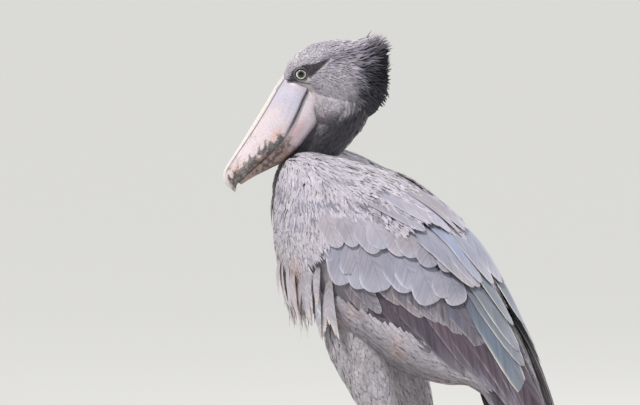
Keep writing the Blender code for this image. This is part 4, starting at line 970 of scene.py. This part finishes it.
# the first colour, slate * 0.7 at the roots, is painted shade under the coverts over them
tail_coat = feathers(
    "tail_feathers", tail_sheet, np.full(12, 0.15), place * 0.8, 0.2, 0.036,
    [mottled(slate * k, 12, draw, light=0.08) for k in (0.7, 1.0, 1.25)], ends=(1.0 - 0.03 * place ** 2, place * 0.98),
    rows=22, columns=5, root=0.6, blunt=6.0, sink=0.0, tip=0.006 - 0.0012 * np.abs(place * 5.5), roll=0.0,
    camber=0.0010, thick=0.0005, ragged=0.012, seed=122, patch=None)
tail_coat.data.materials.append(dark_barbs)
coat("tail_coverts", tail_base, (0.0, 4.6), (0, 2 * math.pi), lambda t, turn: t < 9,
     lambda places, t, turn: blend(colour(176, 170, 178) + 0 * places, colour(126, 121, 130), step(2.4, 4.4, t)),
     lambda t, turn: 0.040 + 0.010 * np.maximum(np.sin(turn), 0), lambda t, turn: (TAIL_END - TAIL_ROOT) * 5 + 0 * t[:, None],
     soft_plumage, "body_feathers", 124, sink=-0.004)


# BILL
# A huge swollen bill of horn over light bone, hooked at its tip. A groove on each side, painted dark as shade, sets off
# the ridge, whose top is painted paler as a highlight; the slit nostrils lie in it with painted shade inside them, and
# dark stains spread along the cutting edges. The lower half is painted darker towards its lower edge as shade. Both
# halves are fine closed tubes.
BILL_DROP = math.radians(56)
bill_along = math.cos(BILL_DROP) * forward - math.sin(BILL_DROP) * upward
bill_top = math.sin(BILL_DROP) * forward + math.cos(BILL_DROP) * upward
MOUTH = np.array((
    (0, -0.0240), (0.035, -0.0288), (0.067, -0.0350), (0.095, -0.0375), (0.125, -0.0378), (0.160, -0.0300),
    (0.195, -0.0220), (0.220, -0.0172), (0.250, -0.0150),
))
UPPER_BILL = np.array((
    (0.0145, 0.0225, 0, 0.034), (0.024, 0.0260, 0, 0.0405), (0.050, 0.0255, 0, 0.0445), (0.085, 0.0232, 0, 0.0470),
    (0.125, 0.0213, 0, 0.0470), (0.162, 0.0198, 0, 0.0425), (0.195, 0.0190, 0, 0.0345), (0.218, 0.0180, 0, 0.0255),
    (0.231, 0.0138, 0, 0.0180), (0.2385, 0.0068, 0.0035, 0.0125), (0.2425, -0.0010, 0.0055, 0.0080),
    (0.2440, -0.0100, 0.0065, 0.0045),
))
LOWER_BILL = np.array((
    (0.010, -0.0400, 0.028), (0.026, -0.0580, 0.036), (0.050, -0.0755, 0.0400), (0.088, -0.0735, 0.0420),
    (0.120, -0.0705, 0.0405), (0.150, -0.0625, 0.0360), (0.178, -0.0470, 0.0290), (0.203, -0.0335, 0.0200),
    (0.220, -0.0255, 0.0110), (0.2265, -0.0225, 0.0050),
))
UPPER_SECTION = np.array(((0, 1), (0.10, 0.985), (0.17, 0.90), (0.24, 0.905), (0.50, 0.82), (0.78, 0.62),
                          (0.95, 0.34), (1, 0.12), (0.97, 0)))
LOWER_SECTION = np.array(((0.94, 1), (1, 0.86), (0.93, 0.50), (0.72, 0.18), (0.40, 0.03), (0, 0)))


def in_bill(along, left, top):
    """A place in the bill as steps along it, to the left and towards its ridge, from the middle of the eyes."""
    along, left, top = (np.asarray(v, float)[..., None] for v in (along, left, top))
    return stand + EYE_MIDDLE + along * bill_along + left * leftward + top * bill_top


def bill_place(points):
    """The same steps, read back from places."""
    out = points - stand - EYE_MIDDLE
    return out @ bill_along, out @ leftward, out @ bill_top


def mouth(along):
    return smooth(MOUTH[:, 1:], np.interp(along, MOUTH[:, 0], np.arange(len(MOUTH))))[..., 0]


def coords(piece):
    """All points of a piece as one array."""
    points = np.empty(len(piece.data.vertices) * 3, np.float32)
    piece.data.vertices.foreach_get("co", points)
    return points.reshape(-1, 3).astype(float)


def moved(piece, points):
    piece.data.vertices.foreach_set("co", np.asarray(points, np.float32).ravel())
    piece.data.update()


def out_of(piece):
    """The outward direction at each point of a piece."""
    ways = np.empty(len(piece.data.vertices) * 3, np.float32)
    piece.data.vertex_normals.foreach_get("vector", ways)
    return ways.reshape(-1, 3).astype(float)


def painted(piece, tone):
    """Gives each point of a piece its colour."""
    tone = np.broadcast_to(tone, (len(piece.data.vertices), 3))
    layer = piece.data.attributes.new("tint", "FLOAT_COLOR", "POINT")
    layer.data.foreach_set("color", np.concatenate((tone, np.ones((len(tone), 1))), -1).astype(np.float32).ravel())


def horn(name, rough=0.42, fine=420.0, speckle=0.18, coat=0.15, bump=0.0003, grain=1.0):
    """Keratin: the colour of the place, finely speckled, with a faint grain and a low sheen."""
    made = bpy.data.materials.new(name)
    made.use_nodes = True
    tree = made.node_tree
    shader = tree.nodes["Principled BSDF"]
    link = tree.links.new
    tint = node(tree, "ShaderNodeAttribute", attribute_name="tint")
    where = node(tree, "ShaderNodeTexCoord")
    dots = node(tree, "ShaderNodeTexNoise", Scale=fine, Detail=4.0, Roughness=0.65)
    link(where.outputs["Object"], dots.inputs["Vector"])
    gain = node(tree, "ShaderNodeMapRange")
    for key, value in (("From Min", 0.3), ("From Max", 0.7), ("To Min", 1 - speckle), ("To Max", 1 + speckle)):
        gain.inputs[key].default_value = value
    link(dots.outputs["Fac"], gain.inputs["Value"])
    toned = node(tree, "ShaderNodeVectorMath", operation="SCALE")
    link(tint.outputs["Color"], toned.inputs[0])
    link(gain.outputs[0], toned.inputs["Scale"])
    link(toned.outputs[0], shader.inputs["Base Color"])
    raise_it = node(tree, "ShaderNodeBump", Strength=0.6, Distance=bump)
    link(dots.outputs["Fac"], raise_it.inputs["Height"])
    link(raise_it.outputs[0], shader.inputs["Normal"])
    shader.inputs["Roughness"].default_value = rough
    shader.inputs["Coat Weight"].default_value = coat
    shader.inputs["Coat Roughness"].default_value = 0.25
    return made


def bill_rings(table, section, rows, points, ends):
    """Closed rings along half a bill. ends gives the low and high line of each ring from its row of the table."""
    half = np.vstack((section * (-1, 1), section[::-1][1:])) if section[0, 0] else np.vstack((section[:0:-1] * (-1, 1), section))
    curve = smooth(half, np.linspace(0, len(half) - 1, points))
    back = curve[-1] + (curve[0] - curve[-1]) * np.linspace(0, 1, 14)[1:-1, None]
    loop = np.vstack((curve, back))
    rings = []
    for row in smooth(table, np.linspace(0, len(table) - 1, rows)):
        low, high = ends(row)
        rings.append(in_bill(np.full(len(loop), row[0]), row[-1] * loop[:, 0], low + (high - low) * loop[:, 1]))
    return np.array(rings)


upper_rings = bill_rings(UPPER_BILL, UPPER_SECTION, 190, 130, lambda row: (mouth(row[0]) - row[2], row[1]))
lower_rings = bill_rings(LOWER_BILL, LOWER_SECTION[::-1], 150, 96, lambda row: (row[1], mouth(row[0]) - 0.0008))
bill_upper = closed_tube("bill_upper_horn", upper_rings)
bill_lower = closed_tube("bill_lower_horn", lower_rings)

spots = coords(bill_upper)
along, left, top = bill_place(spots)
high = np.interp(along, UPPER_BILL[:, 0], UPPER_BILL[:, 1])
half = np.interp(along, UPPER_BILL[:, 0], UPPER_BILL[:, 3])
share = (top - mouth(along)) / (high - mouth(along))
off = np.abs(left) / half
groove = np.exp(-((share - 0.885) / 0.014) ** 2) * (off < 0.6) * step(0.236, 0.215, along) * step(0.012, 0.024, along)
slit = np.maximum(0, 1 - np.hypot((along - 0.044) / 0.0095, (np.abs(left) - 0.0082) / 0.0016)) * (top > 0)
dents = cloud(spots, 0.020, 1) + 0.5 * cloud(spots, 0.009, 2)
moved(bill_upper, spots - out_of(bill_upper) * (0.0009 * groove + 0.0045 * np.minimum(slit * 2, 1)
                                                + 0.0007 * (dents - 0.75) * (off > 0.2))[:, None])
stain = cloud(spots, 0.011, 3) * 0.40 + cloud(spots * (1, 1, 0.6), 0.0048, 4) * 0.33 + cloud(spots, 0.0021, 5) * 0.27
grain = cloud(np.stack((along * 0.25, left, top), -1), 0.0035, 14)
tone = blend(colour(198, 189, 201) + 0 * spots, colour(223, 208, 213), step(0.030, 0.120, along))
tone = blend(tone, colour(200, 198, 216), 0.6 * step(0.45, 0.65, cloud(spots, 0.030, 6)) * step(0.14, 0.05, along))
tone = blend(tone, colour(214, 168, 150), 0.65 * np.exp(-((along - 0.117) / 0.016) ** 2 - ((share - 0.24) / 0.12) ** 2))
tone = blend(tone, colour(216, 172, 150), 0.6 * np.exp(-((along - 0.208) / 0.014) ** 2 - ((share - 0.52) / 0.22) ** 2))
reach = np.interp(along, (0.100, 0.130, 0.16, 0.20, 0.215, 0.228, 0.244), (-0.2, 0.36, 0.34, 0.30, 0.54, 0.64, 0.30))
dark = blend(colour(52, 52, 56) + 0 * spots, colour(128, 104, 92), step(0.42, 0.66, cloud(spots * (1, 1, 0.7), 0.0042, 15)))
dark = blend(dark, colour(74, 92, 90), 0.6 * step(0.5, 0.75, cloud(spots, 0.0065, 16)))
tone = blend(tone, dark, 0.94 * step(0.09, -0.07, share - reach - 1.0 * (stain - 0.5)))
tone = blend(tone, colour(160, 152, 150), 0.45 * step(0.54, 0.64, stain) * step(0.10, 0.16, along))
tone = tone * (0.93 + 0.14 * grain)[:, None]
# painted highlight: a paler strip along the top of the ridge
tone = blend(tone, colour(238, 232, 222), 0.8 * (off < 0.17) * (top > 0) * step(0.01, 0.04, along))
tone = blend(tone, colour(232, 228, 220), 0.8 * step(0.232, 0.240, along) * step(0.3, 0.6, stain))
# painted shade in the groove
tone = blend(tone, colour(58, 50, 58), 0.9 * groove)
# painted shade inside the nostril slits
tone = blend(tone, colour(30, 26, 30), np.minimum(slit * 3, 1))
tone = blend(tone, colour(44, 34, 40), 0.85 * step(0.085, 0.02, share) * step(0.13, 0.07, along))
painted(bill_upper, tone)

spots = coords(bill_lower)
along, left, top = bill_place(spots)
low = np.interp(along, LOWER_BILL[:, 0], LOWER_BILL[:, 1])
share = (top - low) / (mouth(along) - low)
dents = cloud(spots, 0.018, 7) + 0.5 * cloud(spots, 0.008, 8)
moved(bill_lower, spots - out_of(bill_lower) * (0.0007 * (dents - 0.75))[:, None])
stain = cloud(spots, 0.010, 9) * 0.40 + cloud(spots * (1, 1, 0.6), 0.0045, 10) * 0.33 + cloud(spots, 0.0021, 11) * 0.27
tone = colour(228, 216, 223) + 0 * spots
tone = blend(tone, colour(216, 170, 176), 0.7 * np.exp(-((along - 0.088) / 0.020) ** 2 - ((share - 0.62) / 0.25) ** 2))
tone = blend(tone, colour(150, 124, 116), 0.9 * step(0.090, 0.130, along + 0.05 * (stain - 0.5)))
tone = blend(tone, colour(72, 62, 62), 0.85 * step(0.47, 0.60, stain) * step(0.09, 0.13, along))
tone = blend(tone, colour(182, 150, 132), 0.6 * step(0.46, 0.36, stain) * step(0.09, 0.14, along))
# painted shade: darker towards the lower edge of the lower half
tone = blend(tone, colour(120, 108, 112), 0.6 * step(0.35, 0.0, share))
tone = blend(tone, colour(230, 222, 222), 0.7 * step(0.86, 0.95, share) * step(0.05, 0.08, along) * step(0.17, 0.13, along))
painted(bill_lower, tone)
bill_horn = horn("bill_horn")
for piece, solid in ((bill_upper, "bill_upper"), (bill_lower, "bill_lower")):
    piece.data.materials.append(bill_horn)
    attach(piece, "root")
    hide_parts(solid)


# EYES
# Pale eyes that look straight out to the side: a black pupil, a grey-green iris and a bright outer ring, set
# as deep as the real ones between wrinkled lids. The ball is a grid of circles round its own axis.
def eyeball(side, label):
    polar = np.radians(np.concatenate((np.linspace(0.4, 56, 72), np.linspace(60, 179.6, 20))))[:, None]
    turn = np.linspace(0, 2 * math.pi, 73)[None, :-1]
    axis = side * leftward
    radius = 0.0128 + 0.0005 * step(40, 12, np.degrees(polar))
    ray = (np.cos(polar)[..., None] * axis + (np.sin(polar) * np.cos(turn))[..., None] * forward
           + (np.sin(polar) * np.sin(turn))[..., None] * upward)
    made = closed_tube("eyeball_" + label, in_head(0, side * EYE_SPREAD, 0) + radius[..., None] * ray)
    out = coords(made) - in_head(0, side * EYE_SPREAD, 0)
    out /= np.linalg.norm(out, axis=1, keepdims=True)
    angle = np.degrees(np.arccos(np.clip(out @ axis, -1, 1)))
    spokes = cloud(np.stack((np.arctan2(out @ upward, out @ forward) * 9, angle * 0.05, 0 * angle), -1), 1.0, 12)
    tone = colour(92, 98, 90) * (0.75 + 0.5 * spokes)[:, None]
    tone = blend(tone, colour(240, 243, 232) * (0.92 + 0.16 * spokes)[:, None], step(31.5, 35.0, angle + 2 * spokes))
    tone = blend(tone, colour(4, 4, 5), step(21.0, 19.5, angle))
    tone = blend(tone, colour(10, 9, 10), step(42, 44, angle))
    painted(made, tone)
    glass = horn("eye_" + label, rough=0.05, speckle=0.0, coat=0.0, bump=0.0)
    made.data.materials.append(glass)
    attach(made, "root")
    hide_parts("eye_" + label)
    return made


def lids(side, label, skin_look):
    """A ring of wrinkled skin round the eye: its upper half is heavier and hangs over the ball like a brow."""
    turn = np.linspace(0, 2 * math.pi, 161)[:-1, None]
    round_it = np.linspace(0, 2 * math.pi, 29)[None, :-1]
    over = step(-0.2, 0.9, np.sin(turn))
    reach = 0.0110 - 0.0004 * over + 0.0006 * step(0.7, 1.0, np.abs(np.cos(turn)))
    thick = 0.0019 + 0.0008 * over
    ray = np.cos(turn)[..., None] * forward + np.sin(turn)[..., None] * upward
    middle = in_head(0, side * (EYE_SPREAD + 0.0080 + 0.0012 * over[:, 0]), 0)[:, None] + ray * reach[..., None]
    ridges = 1 + 0.16 * np.sin(5 * round_it + 0.8 * np.sin(3 * turn)) + 0.05 * np.sin(23 * turn)
    rings = middle + (thick * ridges * np.cos(round_it))[..., None] * ray \
        + (thick * ridges * np.sin(round_it))[..., None] * side * leftward
    made = mesh_of("lids_" + label, rings, np.concatenate((tube_faces(160, 28), np.stack((
        159 * 28 + np.arange(28), 159 * 28 + (np.arange(28) + 1) % 28, (np.arange(28) + 1) % 28, np.arange(28)), -1))))
    mend(made)
    ahead, left, up = head_place(coords(made))
    gap = np.hypot(ahead, up)
    tone = blend(colour(96, 92, 98) + 0 * coords(made), colour(26, 24, 28), step(0.0112, 0.0098, gap))
    tone = blend(tone, colour(150, 142, 146), 0.8 * step(-0.0088, -0.0112, up) * step(0.0106, 0.0116, gap))
    painted(made, tone)
    made.data.materials.append(skin_look)
    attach(made, "root")


# SKIN
# Grey skin with fine wrinkles. It carries the same markings as the feathers over it.
fine = bmesh.new()
fine.from_mesh(skin.data)
face_middle = Vector(in_head(0.002, 0.0, -0.040))
near = [edge for edge in fine.edges if (edge.verts[0].co - face_middle).length < 0.074]
bmesh.ops.subdivide_edges(fine, edges=near, cuts=3, use_grid_fill=True)
bmesh.ops.triangulate(fine, faces=[face for face in fine.faces if len(face.verts) > 4])
fine.to_mesh(skin.data)
fine.free()
spots = coords(skin)
ahead, left, up = head_place(spots)
on_face = step(0.018, 0.026, np.abs(left)) * step(0.075, 0.070, np.linalg.norm(spots - in_head(0.002, 0, -0.040), axis=1))
bare_skin = step(-0.0020, 0.0020, inside(ahead, up, BARE))
ridges = np.exp(-(line_gap(ahead, up, ((-0.0267, -0.0009), (-0.0175, -0.0101), (-0.0184, -0.0211), (-0.0092, -0.0331))) / 0.0019) ** 2)
ridges += np.exp(-(line_gap(ahead, up, ((-0.0239, -0.0248), (-0.0267, -0.0412), (-0.0239, -0.0634), (-0.0175, -0.0817), (-0.012, -0.1))) / 0.0022) ** 2)
ridges += 0.8 * np.exp(-(line_gap(ahead, up, ((0.0180, -0.0188), (0.0060, -0.0205), (-0.0080, -0.0235))) / 0.0016) ** 2)
valleys = np.exp(-(line_gap(ahead, up, ((0.0201, -0.0160), (0.0100, -0.0137), (-0.0065, -0.0156), (-0.0166, -0.0185))) / 0.0011) ** 2)
valleys += np.exp(-(line_gap(ahead, up, ((-0.0020, -0.0300), (-0.0083, -0.0303), (-0.0040, -0.0420))) / 0.0012) ** 2)
wrinkles = cloud(np.stack((ahead * 2.2, left * 0, up * 0.9), -1), 0.0035, 31) - 0.5
raise_by = on_face * (bare_skin * (0.0014 + 0.0010 * wrinkles) + 0.0012 * ridges - 0.0011 * valleys)
moved(skin, spots + out_of(skin) * raise_by[:, None])
spots = coords(skin)
near_head = step(-0.115, -0.085, up)[:, None] * step(0.24, 0.20, np.hypot(ahead, left))[:, None]
skin_tone = colour(158, 152, 158) + 0 * spots
skin_tone = skin_tone + (head_colour(spots) - skin_tone) * near_head
layer = skin.data.attributes.new("tint", "FLOAT_COLOR", "POINT")
layer.data.foreach_set("color", np.concatenate((skin_tone * 0.9, np.ones((len(spots), 1))), -1).astype(np.float32).ravel())


def wrinkled(name, scale, depth, rough):
    made = bpy.data.materials.new(name)
    made.use_nodes = True
    tree = made.node_tree
    shader = tree.nodes["Principled BSDF"]
    tint = node(tree, "ShaderNodeAttribute", attribute_name="tint")
    where = node(tree, "ShaderNodeTexCoord")
    folds = node(tree, "ShaderNodeTexVoronoi", Scale=scale)
    tree.links.new(where.outputs["Object"], folds.inputs["Vector"])
    band = node(tree, "ShaderNodeMapRange")
    band.inputs["To Min"].default_value, band.inputs["To Max"].default_value = 1.1, 0.75
    tree.links.new(folds.outputs["Distance"], band.inputs["Value"])
    toned = node(tree, "ShaderNodeVectorMath", operation="SCALE")
    tree.links.new(tint.outputs["Color"], toned.inputs[0])
    tree.links.new(band.outputs[0], toned.inputs["Scale"])
    tree.links.new(toned.outputs[0], shader.inputs["Base Color"])
    bump = node(tree, "ShaderNodeBump", Strength=0.5, Distance=depth)
    tree.links.new(folds.outputs["Distance"], bump.inputs["Height"])
    tree.links.new(bump.outputs[0], shader.inputs["Normal"])
    shader.inputs["Roughness"].default_value = rough
    return made


skin.data.materials.clear()
skin.data.materials.append(wrinkled("face_skin", 900.0, 0.0006, 0.6))
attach(skin, "root")
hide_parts("torso", "neck", "head", "thigh_left", "thigh_right", "wing_left", "wing_right", "tail")
lid_skin = wrinkled("lid_skin", 1400.0, 0.0003, 0.45)
for side, label in ((1, "left"), (-1, "right")):
    eyeball(side, label)
    lids(side, label, lid_skin)


# LEGS
# Long dark grey shanks under a mesh of small scales, heavy ankle joints, and long toes plated on top. The toes
# spread wide on the floor. Each foot is one body: joint and toes grown together, then scaled over.
TOES = (("inner", -24, 0.128), ("middle", -3, 0.165), ("outer", 24, 0.135), ("hind", 172, 0.078))
TOE_RADIUS, CLAW_LENGTH = 0.0085, 0.024


def limb(name, path, wide, deep, around=48, floor=None):
    """A closed tube of oval rings along a path of points; a floor flattens its underside."""
    path = np.asarray(path, float)
    run = np.gradient(path, axis=0)
    run /= np.linalg.norm(run, axis=1, keepdims=True)
    side = np.cross(run, (0, 0, 1.0)) if abs(run[0, 2]) < 0.7 else np.cross(run, (0, -1.0, 0))
    side /= np.linalg.norm(side, axis=1, keepdims=True)
    over = np.cross(side, run)
    turn = np.linspace(0, 2 * math.pi, around + 1)[:-1]
    rings = (path[:, None] + np.asarray(wide)[:, None, None] * np.cos(turn)[:, None] * side[:, None]
             + np.asarray(deep)[:, None, None] * np.sin(turn)[:, None] * over[:, None])
    if floor is not None:
        rings[..., 2] = np.maximum(rings[..., 2], floor)
    return closed_tube(name, rings)


def joined(name, pieces, size):
    """Grows pieces together into one even skin."""
    whole = bmesh.new()
    for piece in pieces:
        whole.from_mesh(piece.data)
        bpy.data.objects.remove(piece)
    mesh = bpy.data.meshes.new(name)
    whole.to_mesh(mesh)
    whole.free()
    made = bpy.data.objects.new(name, mesh)
    bpy.context.scene.collection.objects.link(made)
    grow = made.modifiers.new("grown_together", "REMESH")
    grow.mode, grow.voxel_size = "VOXEL", size
    even = made.modifiers.new("soften", "SMOOTH")
    even.factor, even.iterations = 0.5, 4
    applied(made)
    made.data.materials.clear()
    return made


def scales(points, size, seed):
    """A mesh of rounded scales: for each place, how near it is to the edge between its two nearest centres."""
    at = points / size
    low = np.floor(at).astype(np.int64)
    first, second = np.full(len(at), 9.0), np.full(len(at), 9.0)
    for k in range(27):
        cell = low + np.array((k % 3 - 1, k // 3 % 3 - 1, k // 9 - 1))
        key = np.mod(cell @ np.array((7919, 104729, 1299709)) + seed, 99991)[:, None]
        centre = cell + 0.5 + 0.36 * (2 * np.mod(np.sin(key * (12.9898, 78.233, 37.719)) * 43758.5453, 1) - 1)
        gap = np.linalg.norm(at - centre, axis=1)
        second = np.minimum(second, np.maximum(first, gap))
        first = np.minimum(first, gap)
    return step(0.0, 0.35, second - first)


def leg(side, label):
    x = side * LEG_X
    knee, ankle, foot = (np.array((x, *place)) for place in (KNEE, ANKLE, FOOT))
    share = np.array((0.66, 0.70, 0.80, 0.90, 0.96))
    upper = knee + (ankle - knee) * share[:, None]
    lower = ankle + (foot - ankle) * np.array((0.03, 0.08, 0.16, 0.5, 0.82, 0.93, 1.0))[:, None]
    deep = np.array((0.0074, 0.0075, 0.0085, 0.0105, 0.0145, 0.0155, 0.0135, 0.0098, 0.0088, 0.0094, 0.0115, 0.0105))
    at = np.linspace(0, 11, 230)
    path, deep = smooth(np.vstack((upper, lower)), at), smooth(deep[:, None], at)[:, 0]
    shank = limb("shank_scaled_" + label, stand + path, deep * 0.88, deep, 48)
    levels = np.array((0.0, 0.006, 0.013, 0.023, 0.032))
    middle = np.stack((np.full(5, foot[0]), np.full(5, foot[1]), levels), 1)
    bodies = [limb("joint", stand + smooth(middle, np.linspace(0, 4, 20)),
                   *[smooth(np.array((0.0125, 0.0155, 0.0165, 0.0140, 0.0105))[:, None], np.linspace(0, 4, 20))[:, 0]] * 2, 32)]
    lines = []
    for toe, turn, length in TOES:
        turn = math.radians(turn) * side
        run = np.array((math.sin(turn), -math.cos(turn), 0.0))
        s = np.linspace(0, 1, 60)
        z = TOE_RADIUS * (0.82 - 0.28 * s)
        line = foot * (1, 1, 0) + run * (length * s)[:, None] + upward * z[:, None]
        swell = 1 + 0.10 * np.cos(2 * math.pi * (3 if toe != "hind" else 2) * s)
        radii = TOE_RADIUS * (1 - 0.34 * s) * swell * (1 - 0.3 * step(0.94, 1.0, s))
        bodies.append(limb("toe", stand + line, radii * 1.05, radii, 24, floor=0.0))
        lines.append((toe, run, length, line))
        start, t = line[-1], np.linspace(0, 1, 40)
        horn_line = start + np.outer(t * CLAW_LENGTH - 0.004 * (1 - t), run)
        horn_line[:, 2] = start[2] + 0.0030 * np.sin(t * math.pi) - (start[2] - 0.0016) * t ** 2
        thick = np.interp(t, (0, 0.2, 0.5, 0.8, 1), (0.0043, 0.0042, 0.0034, 0.0020, 0.0006))
        claw = limb(f"claw_horn_{toe}_{label}", stand + horn_line, thick * 0.72, thick, 28, floor=0.0002)
        spots = coords(claw)
        tipward = ((spots - stand - start) @ run) / CLAW_LENGTH
        painted(claw, blend(colour(58, 54, 56) + 0 * spots, colour(120, 112, 108), step(0.5, 1.0, tipward)))
        claw.data.materials.append(claw_horn)
        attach(claw, "root")
        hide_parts(f"claw_{toe}_{label}")
    whole = joined("foot_scaled_" + label, bodies, 0.0012)
    for piece in (shank, whole):
        spots = coords(piece)
        out = out_of(piece)
        bumps = scales(spots - stand, 0.0042 if piece is shank else 0.0034, 5)
        if piece is whole:
            for toe, run, length, line in lines:
                along = (spots - stand - foot * (1, 1, 0)) @ run
                aside = np.linalg.norm((spots - stand - foot * (1, 1, 0))[:, :2] - along[:, None] * run[:2], axis=1)
                on_top = (aside < 0.0085) & (along > 0.014) & (out[:, 2] > 0.25)
                plate = step(0.0, 0.22, 0.5 - np.abs(np.mod(along / 0.0052, 1) - 0.5))
                bumps = np.where(on_top, plate, bumps)
        moved(piece, spots + out * (0.00055 * (bumps - 0.6))[:, None])
        pale = cloud(spots, 0.02, 13)
        tone = blend(colour(70, 68, 74) + 0 * spots, colour(104, 102, 108), 0.5 * pale)
        painted(piece, blend(tone * 0.45, tone, bumps))
        piece.data.materials.append(leg_skin)
        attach(piece, "root")
    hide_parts("shank_" + label)
    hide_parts("foot_" + label)


leg_skin = horn("leg_skin", rough=0.6, fine=700.0, speckle=0.12, coat=0.0)
claw_horn = horn("claw_horn", rough=0.35, fine=500.0, speckle=0.15, coat=0.3)
for side, label in ((1, "left"), (-1, "right")):
    leg(side, label)


# STAGE
# A plain pale floor, soft studio light from the upper left as the sun falls in the picture, and a long lens.
floor = mesh_of("floor", np.array(((-60, -60, 0), (60, -60, 0), (60, 60, 0), (-60, 60, 0))), np.array(((0, 1, 2, 3),)))
paper = bpy.data.materials.new("studio_floor")
paper.use_nodes = True
paper.node_tree.nodes["Principled BSDF"].inputs["Base Color"].default_value = (0.62, 0.62, 0.60, 1)
paper.node_tree.nodes["Principled BSDF"].inputs["Roughness"].default_value = 0.9
floor.data.materials.append(paper)


right_in = np.array((-0.4226, 0.9063, 0.0))
sideways_in = np.array((0.9063, 0.4226, 0.0))


def softbox(name, place, aim, size, power, tone):
    light = bpy.data.lights.new(name, "AREA")
    light.size, light.energy, light.color = size, power, tone
    made = bpy.data.objects.new(name, light)
    bpy.context.scene.collection.objects.link(made)
    made.location = place
    made.rotation_euler = (Vector(aim) - Vector(place)).to_track_quat("-Z", "Y").to_euler()
    made.visible_glossy = False


softbox("fill", (3.4, 1.6, 1.6), (0, 0, 0.7), 2.5, 14, (0.92, 0.95, 1.0))
softbox("rim", (-2.4, 1.6, 2.6), (0, 0, 0.8), 1.2, 70, (1.0, 0.98, 0.95))
sun = bpy.data.lights.new("key", "SUN")
sun.energy, sun.angle, sun.color = 2.9, math.radians(9), (1.0, 0.975, 0.94)
key = bpy.data.objects.new("key", sun)
bpy.context.scene.collection.objects.link(key)
key.rotation_euler = Vector(1.1 * sideways_in - 1.35 * right_in + 2.7 * upward).to_track_quat("Z", "Y").to_euler()
world = bpy.data.worlds.new("studio")
bpy.context.scene.world = world
world.use_nodes = True
world.node_tree.nodes["Background"].inputs["Color"].default_value = (0.90, 0.93, 0.97, 1)
world.node_tree.nodes["Background"].inputs["Strength"].default_value = 0.42
bpy.context.scene.view_settings.view_transform = "Standard"

AZIMUTH, ELEVATION, DISTANCE, PIXEL = math.radians(115), math.radians(4), 9.0, 0.0018
right = np.array((math.cos(AZIMUTH), math.sin(AZIMUTH), 0.0))
towards = np.array((math.sin(AZIMUTH) * math.cos(ELEVATION), -math.cos(AZIMUTH) * math.cos(ELEVATION), math.sin(ELEVATION)))
aim = stand + right * (320 - 372) * PIXEL + upward * (616 - 202.5) * PIXEL
lens = bpy.data.cameras.new("camera")
lens.sensor_width, lens.lens = 36.0, 36.0 * DISTANCE / (640 * PIXEL)
camera = bpy.data.objects.new("camera", lens)
bpy.context.scene.collection.objects.link(camera)
camera.location = aim + towards * DISTANCE
camera.rotation_euler = Vector(towards).to_track_quat("Z", "Y").to_euler()
bpy.context.scene.camera = camera
